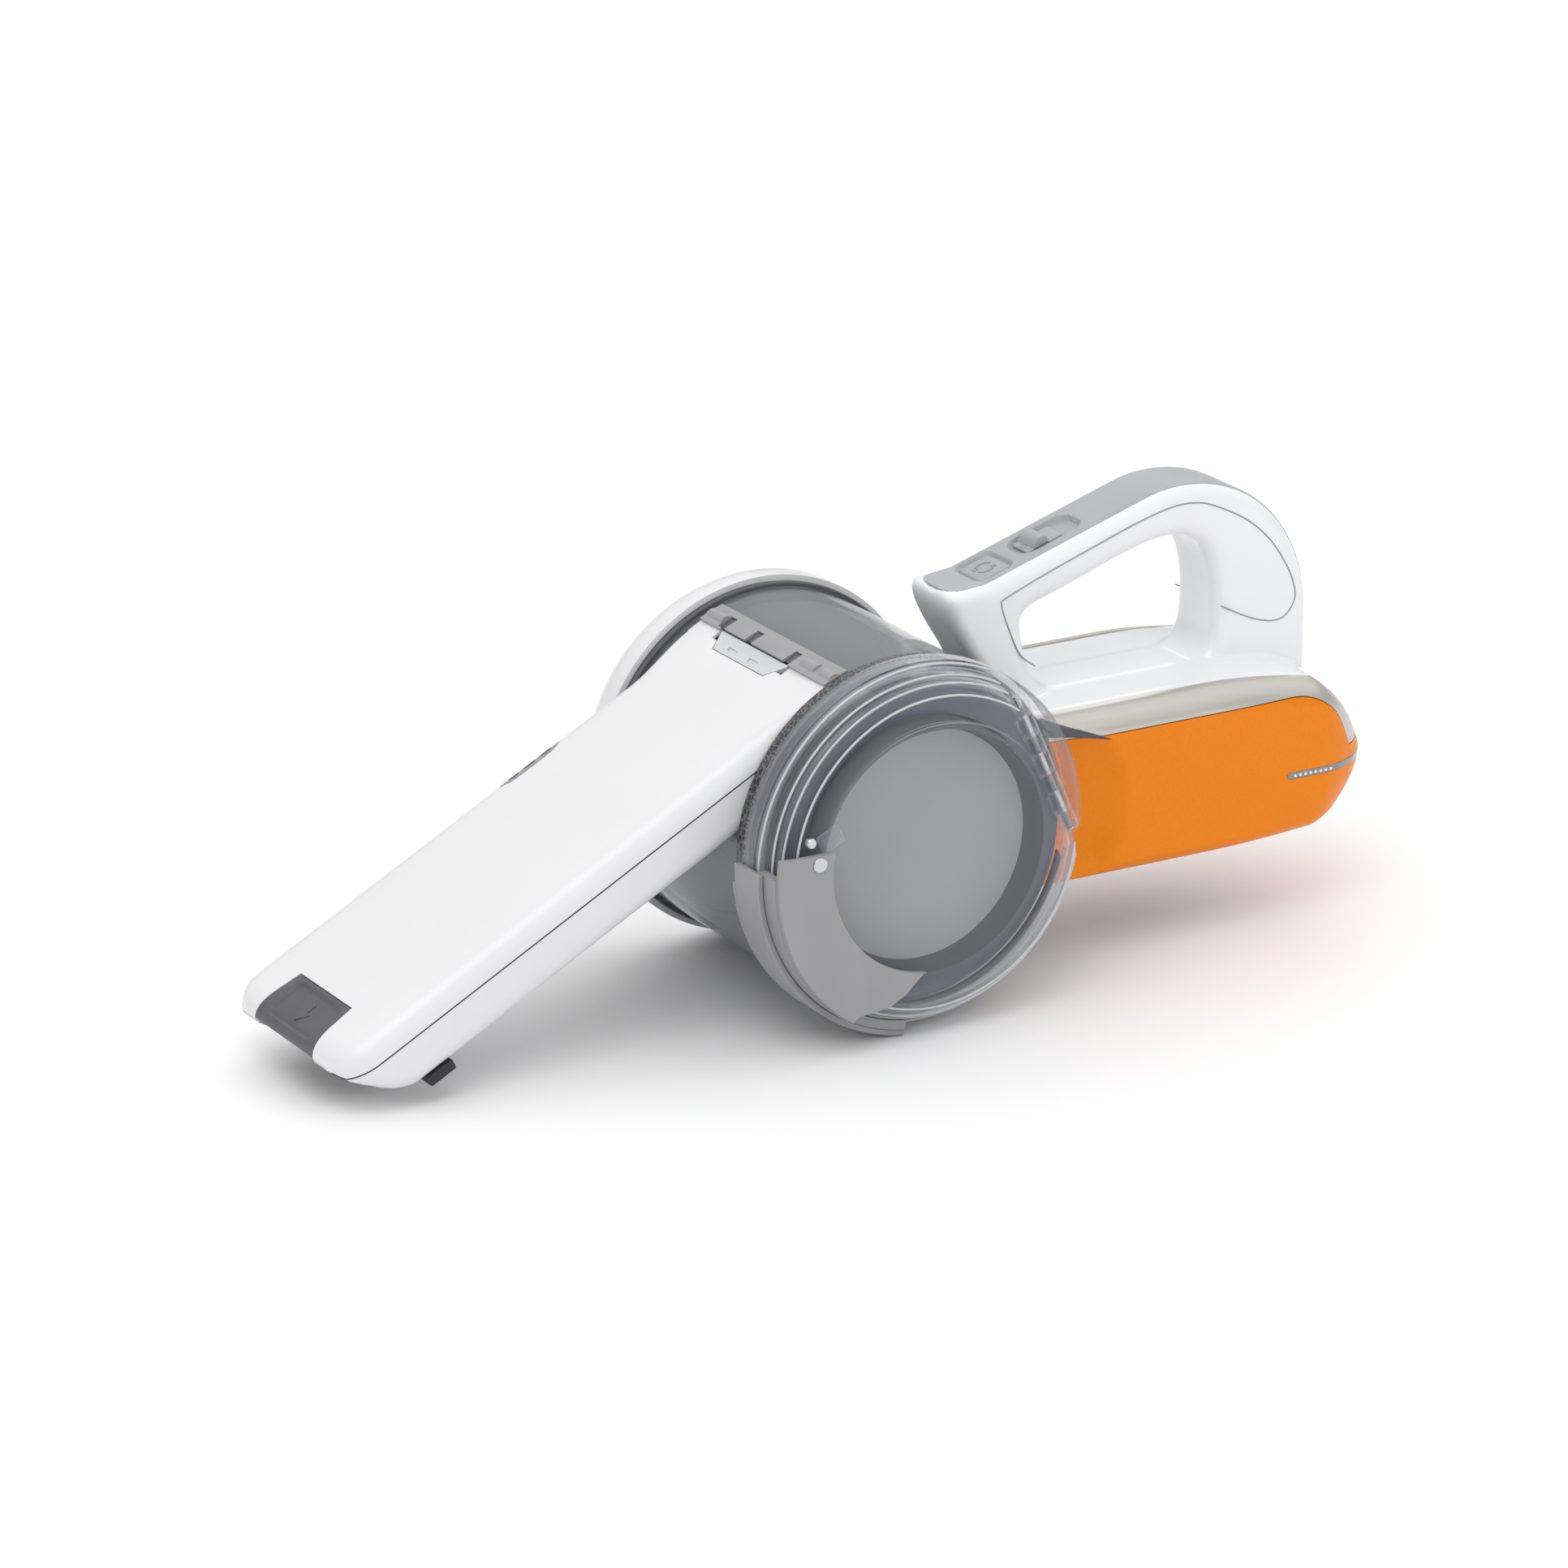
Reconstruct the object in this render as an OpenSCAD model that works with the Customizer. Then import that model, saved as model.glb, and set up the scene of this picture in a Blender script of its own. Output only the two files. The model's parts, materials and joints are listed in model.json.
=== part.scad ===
// Cordless handheld vacuum with a dust drum that pivots in front of the motor body.
// Every piece is drawn about the drum's axis: X runs back towards the handle, Y along the
// drum's axis with the lid on the minus side, Z up. in_row() then moves it to the base.

/* [Drum] */
// Outside diameter of the clear drum
drum_d = 125; // [118:1:150]
// Wall of the clear drum
drum_wall = 2.2; // [1.6:0.1:3]
// Centre plane to the lid end of the drum
drum_near = 50; // [46:1:60]
// Centre plane to the far end of the drum
drum_far = 46; // [45:1:56]
// Rim ring, how far it stands out past the drum
rim_step = 2.5; // [1.5:0.1:4]
// Length of the rim ring along the axis
rim_len = 8; // [6:0.5:12]

/* [Lid and latch] */
// How far the lid's face stands out from the rim ring
lid_depth = 14.2; // [12:0.2:20]
// Wall of the lid
lid_wall = 2; // [1.4:0.1:2.6]
// Drum axis to the lid's hinge line
hinge_reach = 53; // [51:0.5:56]
// Direction of the hinge line's foot, up from the back
hinge_turn = 24; // [10:1:40]
// Radius of the hinge knuckles
knuckle_r = 3.2; // [2.6:0.1:3.6]
// Radius of the lid's hinge pin
hinge_pin_r = 1.2; // [1:0.1:1.6]
// Thickness of the latch
latch_t = 2.4; // [1.8:0.1:3]
// Radius of the latch's pin
latch_pin_r = 2; // [1.5:0.1:2.4]

/* [Filter] */
// Radius of the filter's dished end
cup_r = 45.2; // [40:0.2:46]
// Depth of the dish
cup_depth = 10.5; // [6:0.5:12]
// Radius of the outer screen
screen_r = 38; // [32:0.5:40]
// Number of pleats
pleats = 36; // [24:1:48]

/* [Nozzle] */
// Width of the nozzle
nozzle_w = 86; // [76:1:92]
// Thickness of the nozzle
nozzle_t = 27; // [24:0.5:29]
// Drum axis to the nozzle's tip
nozzle_reach = 213; // [185:1:240]
// Slope of the nozzle below level
nozzle_tilt = 28.1; // [20:0.1:35]
// Wall of the nozzle's shells
nozzle_wall = 2.2; // [1.8:0.1:2.8]
// Height of the rubber feet under the tip
foot_h = 4; // [2:0.5:6]
// Width of the pull-out crevice tube
tube_w = 40; // [32:1:44]
// Height of the crevice tube
tube_h = 15; // [12:0.5:16]
// Length of the crevice tube
tube_len = 130; // [110:1:140]

/* [Body] */
// Width of the body
body_w = 84; // [78:1:92]
// Drum axis to the end of the tail
tail_x = 209.5; // [195:1:240]
// Height of the top deck over the drum axis
deck_z = 27.4; // [25:0.2:30]
// Depth of the flat underside below the drum axis
belly_z = 34.5; // [34:0.1:36]
// Height of the coloured covers' top edge
cover_z = 18.3; // [16:0.1:20]
// Thickness of the coloured covers
cover_t = 2.8; // [2:0.1:3.4]
// Width of the bright trim band, seen from above
trim_w = 9; // [6:0.5:11]
// Wall of the white housing
housing_wall = 2.5; // [2:0.1:3]
// Gap between the drum and the body's front
pivot_gap = 3.8; // [3.5:0.1:6]

/* [Handle] */
// Width of the handle
handle_w = 30; // [26:1:34]
// Slope of the grip
grip_slope = 17.6; // [15:0.1:20]
// Thickness of the soft strip on the grip
strip_t = 2.6; // [2:0.1:3.2]
// Width of the soft strip
strip_w = 23; // [18:1:24]

/* [Hub] */
// Radius of the round cap on the far side
hub_r = 66; // [64:0.5:72]
// Thickness of the far cap
hub_t = 15; // [12:0.5:18]
// Radius of the drum's hollow axle
axle_r = 23; // [21:0.5:25]

/* [Fits] */
// Gap between fixed neighbours
gap = 0.1; // [0.05:0.01:0.2]
// Radial clearance of pins and axles
run = 0.05; // [0.02:0.01:0.09]
// Gap around sliding and swinging pieces
slip = 0.4; // [0.3:0.05:0.6]

/* [Hidden] */
$fn = 72;
drum_r = drum_d / 2;
rim_r = drum_r + rim_step;
rim_front = -(drum_near + rim_len);
lid_front = rim_front - slip - lid_depth;
hub_far = drum_far + 3 + hub_t;
hw = body_w / 2;
body_front_r = drum_r + pivot_gap;
latch_r = rim_r + slip + latch_t;
latch_front = lid_front - slip - latch_t;
nozzle_top = drum_r;
nozzle_low = nozzle_top - nozzle_t;
part_w = nozzle_top - 9.5;
grip_x = 55.7;
grip_z = 71.1;
tail_mid = -9;
deck_end = tail_x - 49.5;
tail_low_r = belly_z + tail_mid;
deck_drop = deck_z - tail_mid;
tail_top_r = (pow(tail_x - deck_end, 2) + pow(deck_drop, 2)) / (2 * deck_drop);
tail_plan_r = 30;
tip_x = -(nozzle_reach * cos(nozzle_tilt) + (nozzle_top - 4) * sin(nozzle_tilt));
mid_x = (tail_x + tip_x) / 2;
mid_y = (latch_front + hub_far) / 2;
rest_z = latch_r * sin(82);

// ---- Helpers -------------------------------------------------------------------------

module in_row() translate([-mid_x, -mid_y, rest_z]) children();

// Extrudes an (x, z) outline along Y.
module along_y(y0, y1) translate([0, y1, 0]) rotate([90, 0, 0]) linear_extrude(y1 - y0)
    children();

// Extrudes a (y, z) outline along X.
module along_x(x0, x1) translate([x0, 0, 0]) rotate([90, 0, 90]) linear_extrude(x1 - x0)
    children();

module disc_y(r, y0, y1) along_y(y0, y1) circle(r);

module tube_y(r_in, r_out, y0, y1) along_y(y0, y1) difference() {
    circle(r_out);
    circle(r_in);
}

module rod_x(r, x0, x1) along_x(x0, x1) circle(r);

module tube_x(r_in, r_out, x0, x1) along_x(x0, x1) difference() {
    circle(r_out);
    circle(r_in);
}

// Turns a (radius, y) outline about the drum's axis.
module turned() rotate([-90, 0, 0]) rotate_extrude() children();

module box(lo, hi) translate(lo) cube(hi - lo);

// A wedge of the (x, z) plane from angle a0 to a1, counted from +X towards +Z.
module wedge_2d(a0, a1, r) polygon(concat([[0, 0]],
    [for (i = [0:6]) let(a = a0 + (a1 - a0) * i / 6) [r * cos(a), r * sin(a)]]));

// Rectangle with round corners, built from squares and circles.
module round_rect(lo, hi, r) {
    translate([lo.x + r, lo.y]) square([hi.x - lo.x - 2 * r, hi.y - lo.y]);
    translate([lo.x, lo.y + r]) square([hi.x - lo.x, hi.y - lo.y - 2 * r]);
    for (x = [lo.x + r, hi.x - r], y = [lo.y + r, hi.y - r]) translate([x, y]) circle(r);
}

function bezier(p, t) = pow(1 - t, 3) * p[0] + 3 * t * pow(1 - t, 2) * p[1]
    + 3 * t * t * (1 - t) * p[2] + pow(t, 3) * p[3];
function slope(p, t) = 3 * pow(1 - t, 2) * (p[1] - p[0]) + 6 * t * (1 - t) * (p[2] - p[1])
    + 3 * t * t * (p[3] - p[2]);
// Points along a curve, moved sideways by d to the right of its direction.
function curve(p, n, d = 0) = [for (i = [0:n]) let(t = i / n, s = slope(p, t))
    bezier(p, t) + d * [s.y, -s.x] / norm(s)];

// ---- Nozzle frame: X runs from the tip back over the drum, Z away from the drum ---------

module in_nozzle() rotate([0, -nozzle_tilt, 0]) children();

// Solid outer form of the nozzle, drawn in by d.
module nozzle_form(d) {
    w = nozzle_w / 2 - d;
    top = nozzle_top - d;
    low = nozzle_low + d;
    intersection() {
        along_x(-nozzle_reach - 1, 2) union() {
            round_rect([-w, low], [w, top], 6);
            translate([-w, low + 7]) square([2 * w, 6]);
        }
        along_y(-w, w) polygon([
            [2, top], [-nozzle_reach + 7 + d, top], [-nozzle_reach + 2 + d, top - 2],
            [-nozzle_reach + d, top - 5.5], [-nozzle_reach + 4 + d, top - 9],
            [-nozzle_reach + 10 + d, top - 16.5], [-nozzle_reach + 20 + d, low], [2, low]]);
        translate([0, 0, low]) linear_extrude(top - low)
            round_rect([-nozzle_reach + d, -w], [30, w], 14);
    }
}

// Region of the nozzle above its parting line, lifted by d.
module above_parting(d) along_y(-60, 60) polygon([
    [-nozzle_reach - 5, part_w + d], [-44, part_w + d], [-38, part_w + 0.4 + d],
    [-28, part_w + 3.2 + d], [-20.6, part_w + 6.6 + d], [-17, part_w + 11 + d],
    [-17, part_w + 30], [-nozzle_reach - 5, part_w + 30]]);

module behind_parting(d) union() {
    above_parting(d);
    box([-18, -60, part_w], [6, 60, part_w + 30]);
}

module nozzle_hollow() {
    difference() {
        nozzle_form(nozzle_wall);
        box([-nozzle_reach - 2, -60, part_w - 20], [-nozzle_reach + 12, 60, part_w + 20]);
    }
}

tube_low = nozzle_low + nozzle_wall + 1.6;
mouth_side = 9;
rail_front = -nozzle_reach + 24;
rail_rear = -nozzle_reach + 115;
// Mouth at the tip, and the way back into the drum.
module nozzle_passage() {
    nozzle_hollow();
    box([-nozzle_reach - 5, -tube_w / 2 - mouth_side, tube_low - slip],
        [-nozzle_reach + 30, tube_w / 2 + mouth_side, tube_low + tube_h + slip]);
    rotate([0, nozzle_tilt, 0]) disc_y(drum_r - drum_wall + gap, -60, 60);
}

pull_front = 24;
pull_rear = 19.5;
module pull_outline(d) polygon([
    [-nozzle_reach - 3, -pull_front - d], [-nozzle_reach + 21 + d, -pull_rear - d],
    [-nozzle_reach + 21 + d, pull_rear + d], [-nozzle_reach - 3, pull_front + d]]);

tab_front = 5.4;
tab_mid = 5.5;
module tab_outline(d) polygon([
    [-tab_front - d, tab_mid - 17 - d], [-tab_front - d, tab_mid + 17 + d],
    [2.6 + d, tab_mid + 23 + d], [2.6 + d, tab_mid - 23 - d]]);

module inlay_region(d) box(
    [-93 - d, nozzle_w / 2 - 5 - d, part_w + 2 - d], [-66 + d, nozzle_w / 2 + 2, nozzle_top + 2]);

module nozzle_top_shell() color("white") in_nozzle() {
    difference() {
        intersection() {
            nozzle_form(0);
            behind_parting(0);
        }
        nozzle_passage();
        translate([0, 0, nozzle_top - 3]) linear_extrude(5) pull_outline(slip);
        box([-nozzle_reach - 5, -14.4, part_w - 2], [-nozzle_reach + 21, 14.4, nozzle_top]);
        translate([0, 0, nozzle_top - 5]) linear_extrude(9) tab_outline(slip);
        difference() {
            inlay_region(gap);
            nozzle_form(1.3);
        }
    }
    for (y = [-12, 10.4]) box([rail_front, y, tube_low + tube_h + slip],
        [rail_rear, y + 1.6, nozzle_top - nozzle_wall]);
}

module nozzle_bottom_shell() color("gainsboro") in_nozzle() {
    difference() {
        intersection() {
            nozzle_form(0);
            box([-nozzle_reach - 5, -60, nozzle_low - 2], [6, 60, nozzle_top + 2]);
        }
        behind_parting(-0.3);
        nozzle_passage();
        box([-18, -60, part_w - 1], [6, 60, part_w + 30]);
    }
    for (s = [-1, 1]) box(
        [rail_front, s > 0 ? tube_w / 2 + slip : -tube_w / 2 - slip - 1.6,
            nozzle_low + nozzle_wall],
        [rail_rear, s > 0 ? tube_w / 2 + slip + 1.6 : -tube_w / 2 - slip, part_w - 2]);
    for (y = [-10, 8.4]) box([rail_front, y, nozzle_low + nozzle_wall],
        [rail_rear, y + 1.6, tube_low - slip]);
}

module nozzle_feet() color("dimgray") in_nozzle() for (s = [-1, 1])
    box([-187, s * 36 - 4.5, nozzle_low - foot_h], [-176, s * 36 + 4.5, nozzle_low]);

module side_inlay() color("gray") in_nozzle() difference() {
    intersection() {
        nozzle_form(0);
        inlay_region(0);
    }
    nozzle_form(1.2);
}

knuckle_x = 6.5;
module nozzle_knuckles() color("silver") in_nozzle() difference() {
    union() {
        intersection() {
            box([2 + gap, -nozzle_w / 2 + 0.5, 50], [12, nozzle_w / 2 - 0.5, 70]);
            rotate([0, nozzle_tilt, 0]) tube_y(drum_r + gap, drum_r + 1.1, -50, 50);
        }
        for (r = [[-42, -35], [-31, -22], [31.5, 42]])
            translate([knuckle_x, 0, nozzle_top - 1.4]) disc_y(3.1, r[0], r[1]);
    }
    rotate([0, nozzle_tilt, 0]) disc_y(drum_r + gap, -60, 60);
    for (y = [-15.4, 10.6, 29]) box([3, y - 2.2, 50], [9, y + 2.2, 70]);
    translate([0, 0, nozzle_top - 5]) linear_extrude(9) tab_outline(slip);
}

module release_tab() color("lightsteelblue") in_nozzle() difference() {
    union() {
        translate([0, 0, nozzle_top - 1.7]) linear_extrude(1.7) tab_outline(0);
        translate([1.3, 0, nozzle_top - 1.3]) disc_y(1.3, tab_mid - 20, tab_mid + 20);
    }
    for (y = [tab_mid - 9, tab_mid + 5]) box([-3.4, y, nozzle_top - 0.5], [-1.8, y + 6, 70]);
}

flap_pivot = [-18, drum_r - 7.5];
flap_tip = [-43, drum_r - 23];
module inlet_flap() color("dimgray") in_nozzle() {
    run_v = flap_tip - flap_pivot;
    side = [run_v.y, -run_v.x] / norm(run_v) * 0.75;
    along_y(-36, 36) polygon([flap_pivot + side, flap_tip + side, flap_tip - side,
        flap_pivot - side]);
    translate([flap_pivot.x, 0, flap_pivot.y]) disc_y(1.5, -38, 38);
}

module crevice_tube() color("dimgray") in_nozzle() {
    x0 = -nozzle_reach + 12;
    difference() {
        along_x(x0, x0 + tube_len)
            round_rect([-tube_w / 2, tube_low], [tube_w / 2, tube_low + tube_h], 3);
        along_x(x0 - 1, x0 + tube_len + 1)
            round_rect([-tube_w / 2 + 1.6, tube_low + 1.6],
                [tube_w / 2 - 1.6, tube_low + tube_h - 1.6], 2);
        along_y(-60, 60) polygon([[x0 - 1, tube_low - 1], [x0 + 9, tube_low - 1],
            [x0 - 1, tube_low + 12]]);
    }
}

module crevice_pull() color("dimgray") in_nozzle() {
    difference() {
        intersection() {
            nozzle_form(0);
            translate([0, 0, nozzle_top - 2.6]) linear_extrude(6) pull_outline(0);
        }
        translate([0, 0, nozzle_top - 1.2]) linear_extrude(3)
            round_rect([-nozzle_reach + 6, -16], [-nozzle_reach + 18, 16], 3);
    }
    box([-nozzle_reach + 13, -14, tube_low + tube_h], [-nozzle_reach + 20, 14,
        nozzle_top - 2.6]);
}

// ---- Drum --------------------------------------------------------------------------------

module nozzle_footprint(d) in_nozzle()
    box([-nozzle_reach, -nozzle_w / 2 - d, nozzle_low - d], [2 + d, nozzle_w / 2 + d, 90]);

module drum_shell() color("slategray", 0.5) difference() {
    tube_y(drum_r - drum_wall, drum_r, -drum_near, drum_far);
    nozzle_footprint(gap);
    in_nozzle() box([0, tab_mid - 23.6, nozzle_low], [6, tab_mid + 23.6, 90]);
}

axle_end = drum_far + 13.4;
module drum_end_plate() color("dimgray") {
    tube_y(axle_r - 3, drum_r + 1.5, drum_far, drum_far + 2.4);
    tube_y(axle_r - 3, axle_r, drum_far + 2.4, axle_end);
    tube_y(drum_r - drum_wall - 2, drum_r - drum_wall - gap, drum_far - 4, drum_far);
}

module drum_felt() color("black")
    tube_y(drum_r - 8, drum_r - 4, drum_far + 2.4, drum_far + 3.6);

detent_count = 24;
detent_r = 50;
module detent_ring() color("silver") difference() {
    tube_y(detent_r - 3.5, detent_r + 3.5, drum_far + 2.4, drum_far + 3.8);
    for (i = [0:detent_count - 1]) rotate([0, i * 360 / detent_count, 0])
        translate([detent_r, 0, 0]) disc_y(2.9, drum_far + 2, drum_far + 5);
}

module hub_retainer() color("dimgray")
    tube_y(axle_r - 3, axle_r + 2.6, axle_end, axle_end + 1);

module in_hinge() rotate([0, -hinge_turn, 0]) children();
hinge_y = rim_front - slip - knuckle_r - 0.4;
leaf = hinge_reach + knuckle_r + 1.8;
hinge_half = sqrt(pow(rim_r, 2) - pow(leaf, 2)) - 0.8;
knuckles = 7;
// Knuckles with an even or odd place along the hinge line.
module knuckle_row(odd) for (i = [odd:2:knuckles - 1]) {
    pitch = 2 * hinge_half / knuckles;
    translate([hinge_reach, hinge_y, -hinge_half + i * pitch + 0.25])
        cylinder(r = knuckle_r, h = pitch - 0.5);
    if (odd == 0) box([hinge_reach, hinge_y + 0.4, -hinge_half + i * pitch + 0.25],
        [leaf, rim_front + 0.4, -hinge_half + (i + 1) * pitch - 0.25]);
    if (odd == 1) box([hinge_reach - 5.4, hinge_y - 2.4, -hinge_half + i * pitch + 0.25],
        [hinge_reach, hinge_y - 0.4, -hinge_half + (i + 1) * pitch - 0.25]);
}
module pin_hole(r) translate([hinge_reach, hinge_y, -60]) cylinder(r = r, h = 120);

module drum_front_ring() color("slategray", 0.5) {
    tube_y(drum_r - drum_wall + gap, rim_r, rim_front, -drum_near);
    in_hinge() difference() {
        union() {
            intersection() {
                disc_y(rim_r - 0.3, hinge_y + 0.8, rim_front + 0.8);
                box([leaf - 1.4, -99, -60], [80, 0, 60]);
            }
            knuckle_row(0);
        }
        pin_hole(hinge_pin_r);
    }
}

module textured_band() color("dimgray") difference() {
    along_y(-drum_near + 2.4, -nozzle_w / 2 - 0.5) intersection() {
        difference() {
            circle(drum_r + 0.9);
            circle(drum_r + gap / 2);
        }
        wedge_2d(62, 206, 90);
    }
}

// ---- Lid and latch ---------------------------------------------------------------------------

lid_rim = rim_front - slip;
// Half section of the lid as (radius, y), drawn in by d.
module lid_section(d) polygon([
    [0, lid_rim], [rim_r - 0.5 - d, lid_rim], [rim_r - 0.5 - d, lid_rim - 2.2 + d / 2],
    [rim_r - 3.4 - d, lid_rim - 2.6], [rim_r - 3.6 - d, lid_rim - 8 + d / 2],
    [rim_r - 5.2 - d, lid_rim - 11 + d], [rim_r - 9 - d, lid_front + 0.8 + d],
    [rim_r - 14 - d, lid_front + d], [0, lid_front + d]]);
module lid_solid(d) turned() lid_section(d);
lid_edge = hinge_reach - knuckle_r - 1.2;
latch_pivot = [-49, 6];

module lid_window() color("lightsteelblue", 0.35) difference() {
    union() {
        difference() {
            lid_solid(0);
            difference() {
                translate([0, 0.1, 0]) lid_solid(lid_wall);
                in_hinge() box([lid_edge - lid_wall, -99, -99], [99, 0, 99]);
            }
            in_hinge() box([lid_edge, -99, -99], [99, 0, 99]);
        }
        in_hinge() knuckle_row(1);
    }
    in_hinge() pin_hole(hinge_pin_r + run);
    translate([latch_pivot.x, 0, latch_pivot.y]) disc_y(latch_pin_r, -99, 0);
}

module lid_seal() color("dimgray") difference() {
    tube_y(rim_r - 5.2 - lid_wall, rim_r - 3.4 - lid_wall, lid_rim - 1.6, lid_rim);
    in_hinge() box([lid_edge - lid_wall - slip, -99, -99], [99, 0, 99]);
}

module lid_hinge_pin() color("silver") in_hinge()
    translate([hinge_reach, hinge_y, -hinge_half]) cylinder(r = hinge_pin_r,
        h = 2 * hinge_half);

module latch_pin() color("silver") translate([latch_pivot.x, 0, latch_pivot.y]) {
    disc_y(latch_pin_r, latch_front, lid_front + lid_wall);
    disc_y(latch_pin_r + 0.7, latch_front - 0.6, latch_front - 0.1);
}

module latch_band() color("silver") {
    along_y(lid_rim - 7, -drum_near + 0.3) intersection() {
        difference() {
            circle(latch_r);
            circle(rim_r + slip);
        }
        wedge_2d(178, 262, 90);
    }
    along_y(-drum_near + slip, -drum_near + 1.9) intersection() {
        difference() {
            circle(latch_r);
            circle(rim_r - 1.2);
        }
        wedge_2d(184, 262, 90);
    }
}

module latch_plate() color("silver") difference() {
    union() {
        along_y(latch_front, lid_front - slip) difference() {
            intersection() {
                circle(rim_r - 0.2);
                wedge_2d(166, 262, 90);
            }
            translate([-1, 1]) circle(cup_r - 2.5);
        }
        along_y(lid_front - slip, lid_rim - 3) intersection() {
            difference() {
                circle(rim_r + slip - 0.05);
                circle(rim_r - 3);
            }
            wedge_2d(178, 262, 90);
        }
    }
    translate([latch_pivot.x, 0, latch_pivot.y]) {
        disc_y(latch_pin_r + run, -99, 0);
        along_y(-99, 0) polygon([[-40, 6], [-9, 3.2], [9, 3.2], [40, 30], [-40, 30]]);
    }
}

// ---- Filter ------------------------------------------------------------------------------------

cup_front = lid_front + lid_wall + 1;
cup_back = cup_front + cup_depth + 2.5;
module filter_cup() color("gray") turned() polygon([
    [0, cup_front + cup_depth], [cup_r - 2.6, cup_front + cup_depth],
    [cup_r - 1.4, cup_front], [cup_r, cup_front], [cup_r, cup_back], [0, cup_back]]);

filter_end = drum_far - 26;
module filter_pleats() color("lightgray") along_y(cup_back, filter_end) difference() {
    polygon([for (i = [0:2 * pleats - 1]) let(a = 180 * i / pleats,
        r = i % 2 == 0 ? screen_r - 4 : screen_r - 12) [r * cos(a), r * sin(a)]]);
    circle(screen_r - 14);
}

module prefilter_screen() color("gray")
    tube_y(screen_r - 1.4, screen_r, cup_back, filter_end);

neck_r = axle_r - 3 - slip;
module filter_frame() color("dimgray") {
    tube_y(axle_r - 6, screen_r, filter_end, filter_end + 3);
    tube_y(axle_r - 6, neck_r, filter_end + 3, drum_far + 1);
    for (turn = [0, 180]) rotate([0, turn, 0])
        box([neck_r - 1.4, filter_end + 5, -4], [axle_r + 4, filter_end + 8, 4]);
}

// ---- Body -----------------------------------------------------------------------------------------

front_x = 40;
// Side outline of the body, drawn in by d.
module side_2d(d) {
    translate([front_x, -belly_z + d]) square([deck_end - front_x, deck_z + belly_z - 2 * d]);
    intersection() {
        translate([deck_end, deck_z - tail_top_r]) circle(tail_top_r - d);
        translate([deck_end - 1, tail_mid]) square([60, 60]);
    }
    translate([deck_end - 1, -belly_z + d])
        square([tail_x - tail_low_r - deck_end + 1, tail_mid + belly_z - d]);
    intersection() {
        translate([tail_x - tail_low_r, tail_mid]) circle(tail_low_r - d);
        translate([tail_x - tail_low_r - 1, -belly_z]) square([60, tail_mid + belly_z]);
    }
}

module plan_2d(half, rear, r) {
    translate([front_x, -half]) square([rear - r - front_x, 2 * half]);
    translate([front_x, -half + r]) square([rear - front_x, 2 * (half - r)]);
    for (s = [-1, 1]) translate([rear - r, s * (half - r)]) circle(r);
}

module body_form(d) intersection() {
    along_y(-hw, hw) side_2d(d);
    translate([0, 0, -60]) linear_extrude(120) plan_2d(hw - d, tail_x - d, tail_plan_r - d);
}

// Body with its top edges sloped for the trim.
module body_shape() intersection() {
    body_form(0);
    along_x(0, 250) polygon([
        [-hw, -60], [hw, -60], [hw, cover_z], [hw - 1.7, cover_z + 4.2],
        [hw - 5, deck_z - 1.6], [hw - trim_w, deck_z], [trim_w - hw, deck_z],
        [5 - hw, deck_z - 1.6], [1.7 - hw, cover_z + 4.2], [-hw, cover_z]]);
}

// Everything below the top edge of the coloured covers, raised by d.
module below_cover_edge(d) {
    r = cover_z - tail_mid;
    cx = tail_x - 43;
    along_y(-60, 60) {
        translate([front_x, -60]) square([cx - front_x, 60 + cover_z + d]);
        translate([cx, tail_mid]) circle(r + d);
        translate([cx, -60]) square([60, 60 + tail_mid + 4 + d]);
    }
}

// Finger scoop at the front of the lid side.
scoop_depth = 8;
scoop_r = (pow(34, 2) + pow(scoop_depth, 2)) / (2 * scoop_depth);
module scoop(d) translate([64, -(hw + scoop_r - scoop_depth), -7]) sphere(scoop_r + d,
    $fn = 96);

module drum_room(d) disc_y(body_front_r + d, -60, 60);

module cover_form() difference() {
    intersection() {
        body_shape();
        below_cover_edge(0);
    }
    body_form(cover_t);
    box([0, -hw + 9, -60], [tail_x - 30, hw - 9, 60]);
    drum_room(2);
    scoop(0);
}
module scoop_skin() difference() {
    intersection() {
        body_shape();
        below_cover_edge(0);
        scoop(cover_t);
        box([0, -hw, -60], [130, -hw + 14, 60]);
    }
    scoop(0);
    drum_room(2);
}

socket_z = -22;
module indicator_region(d) intersection() {
    difference() {
        body_form(-1);
        body_form(1.3 + d);
    }
    box([tail_x - 44.5 - d, -60, -12 - d], [tail_x - 3 + d, -8 + d, -9.6 + d]);
}

module cover_half(s) intersection() {
    union() {
        cover_form();
        if (s < 0) scoop_skin();
    }
    box([0, s < 0 ? -60 : 0.05, -60], [250, s < 0 ? -0.05 : 60, 60]);
}

module cover_left() color("darkorange") difference() {
    cover_half(-1);
    indicator_region(gap);
    led_row(0.7 + run, -hw + 1, -hw + cover_t + 1);
    translate([0, 0, socket_z]) rod_x(5.2, tail_x - 12, tail_x + 2);
}

module cover_right() color("darkorange") difference() {
    cover_half(1);
    translate([0, 0, socket_z]) rod_x(5.2, tail_x - 12, tail_x + 2);
    duct_region(gap);
}

module charge_indicator() color("lightslategray") intersection() {
    indicator_region(0);
    body_form(0);
}

module led_row(r, y0, y1) for (i = [0:7])
    translate([tail_x - 41.5 + 2.2 * i, 0, -10.8]) disc_y(r, y0, y1);

module indicator_leds() color("white") led_row(0.7, -hw + 1.75, -hw + cover_t - 0.1);

module deck_form(d) translate([0, 0, -60]) linear_extrude(120)
    plan_2d(hw - trim_w - d, tail_x - trim_w - d, tail_plan_r - trim_w);

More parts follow.
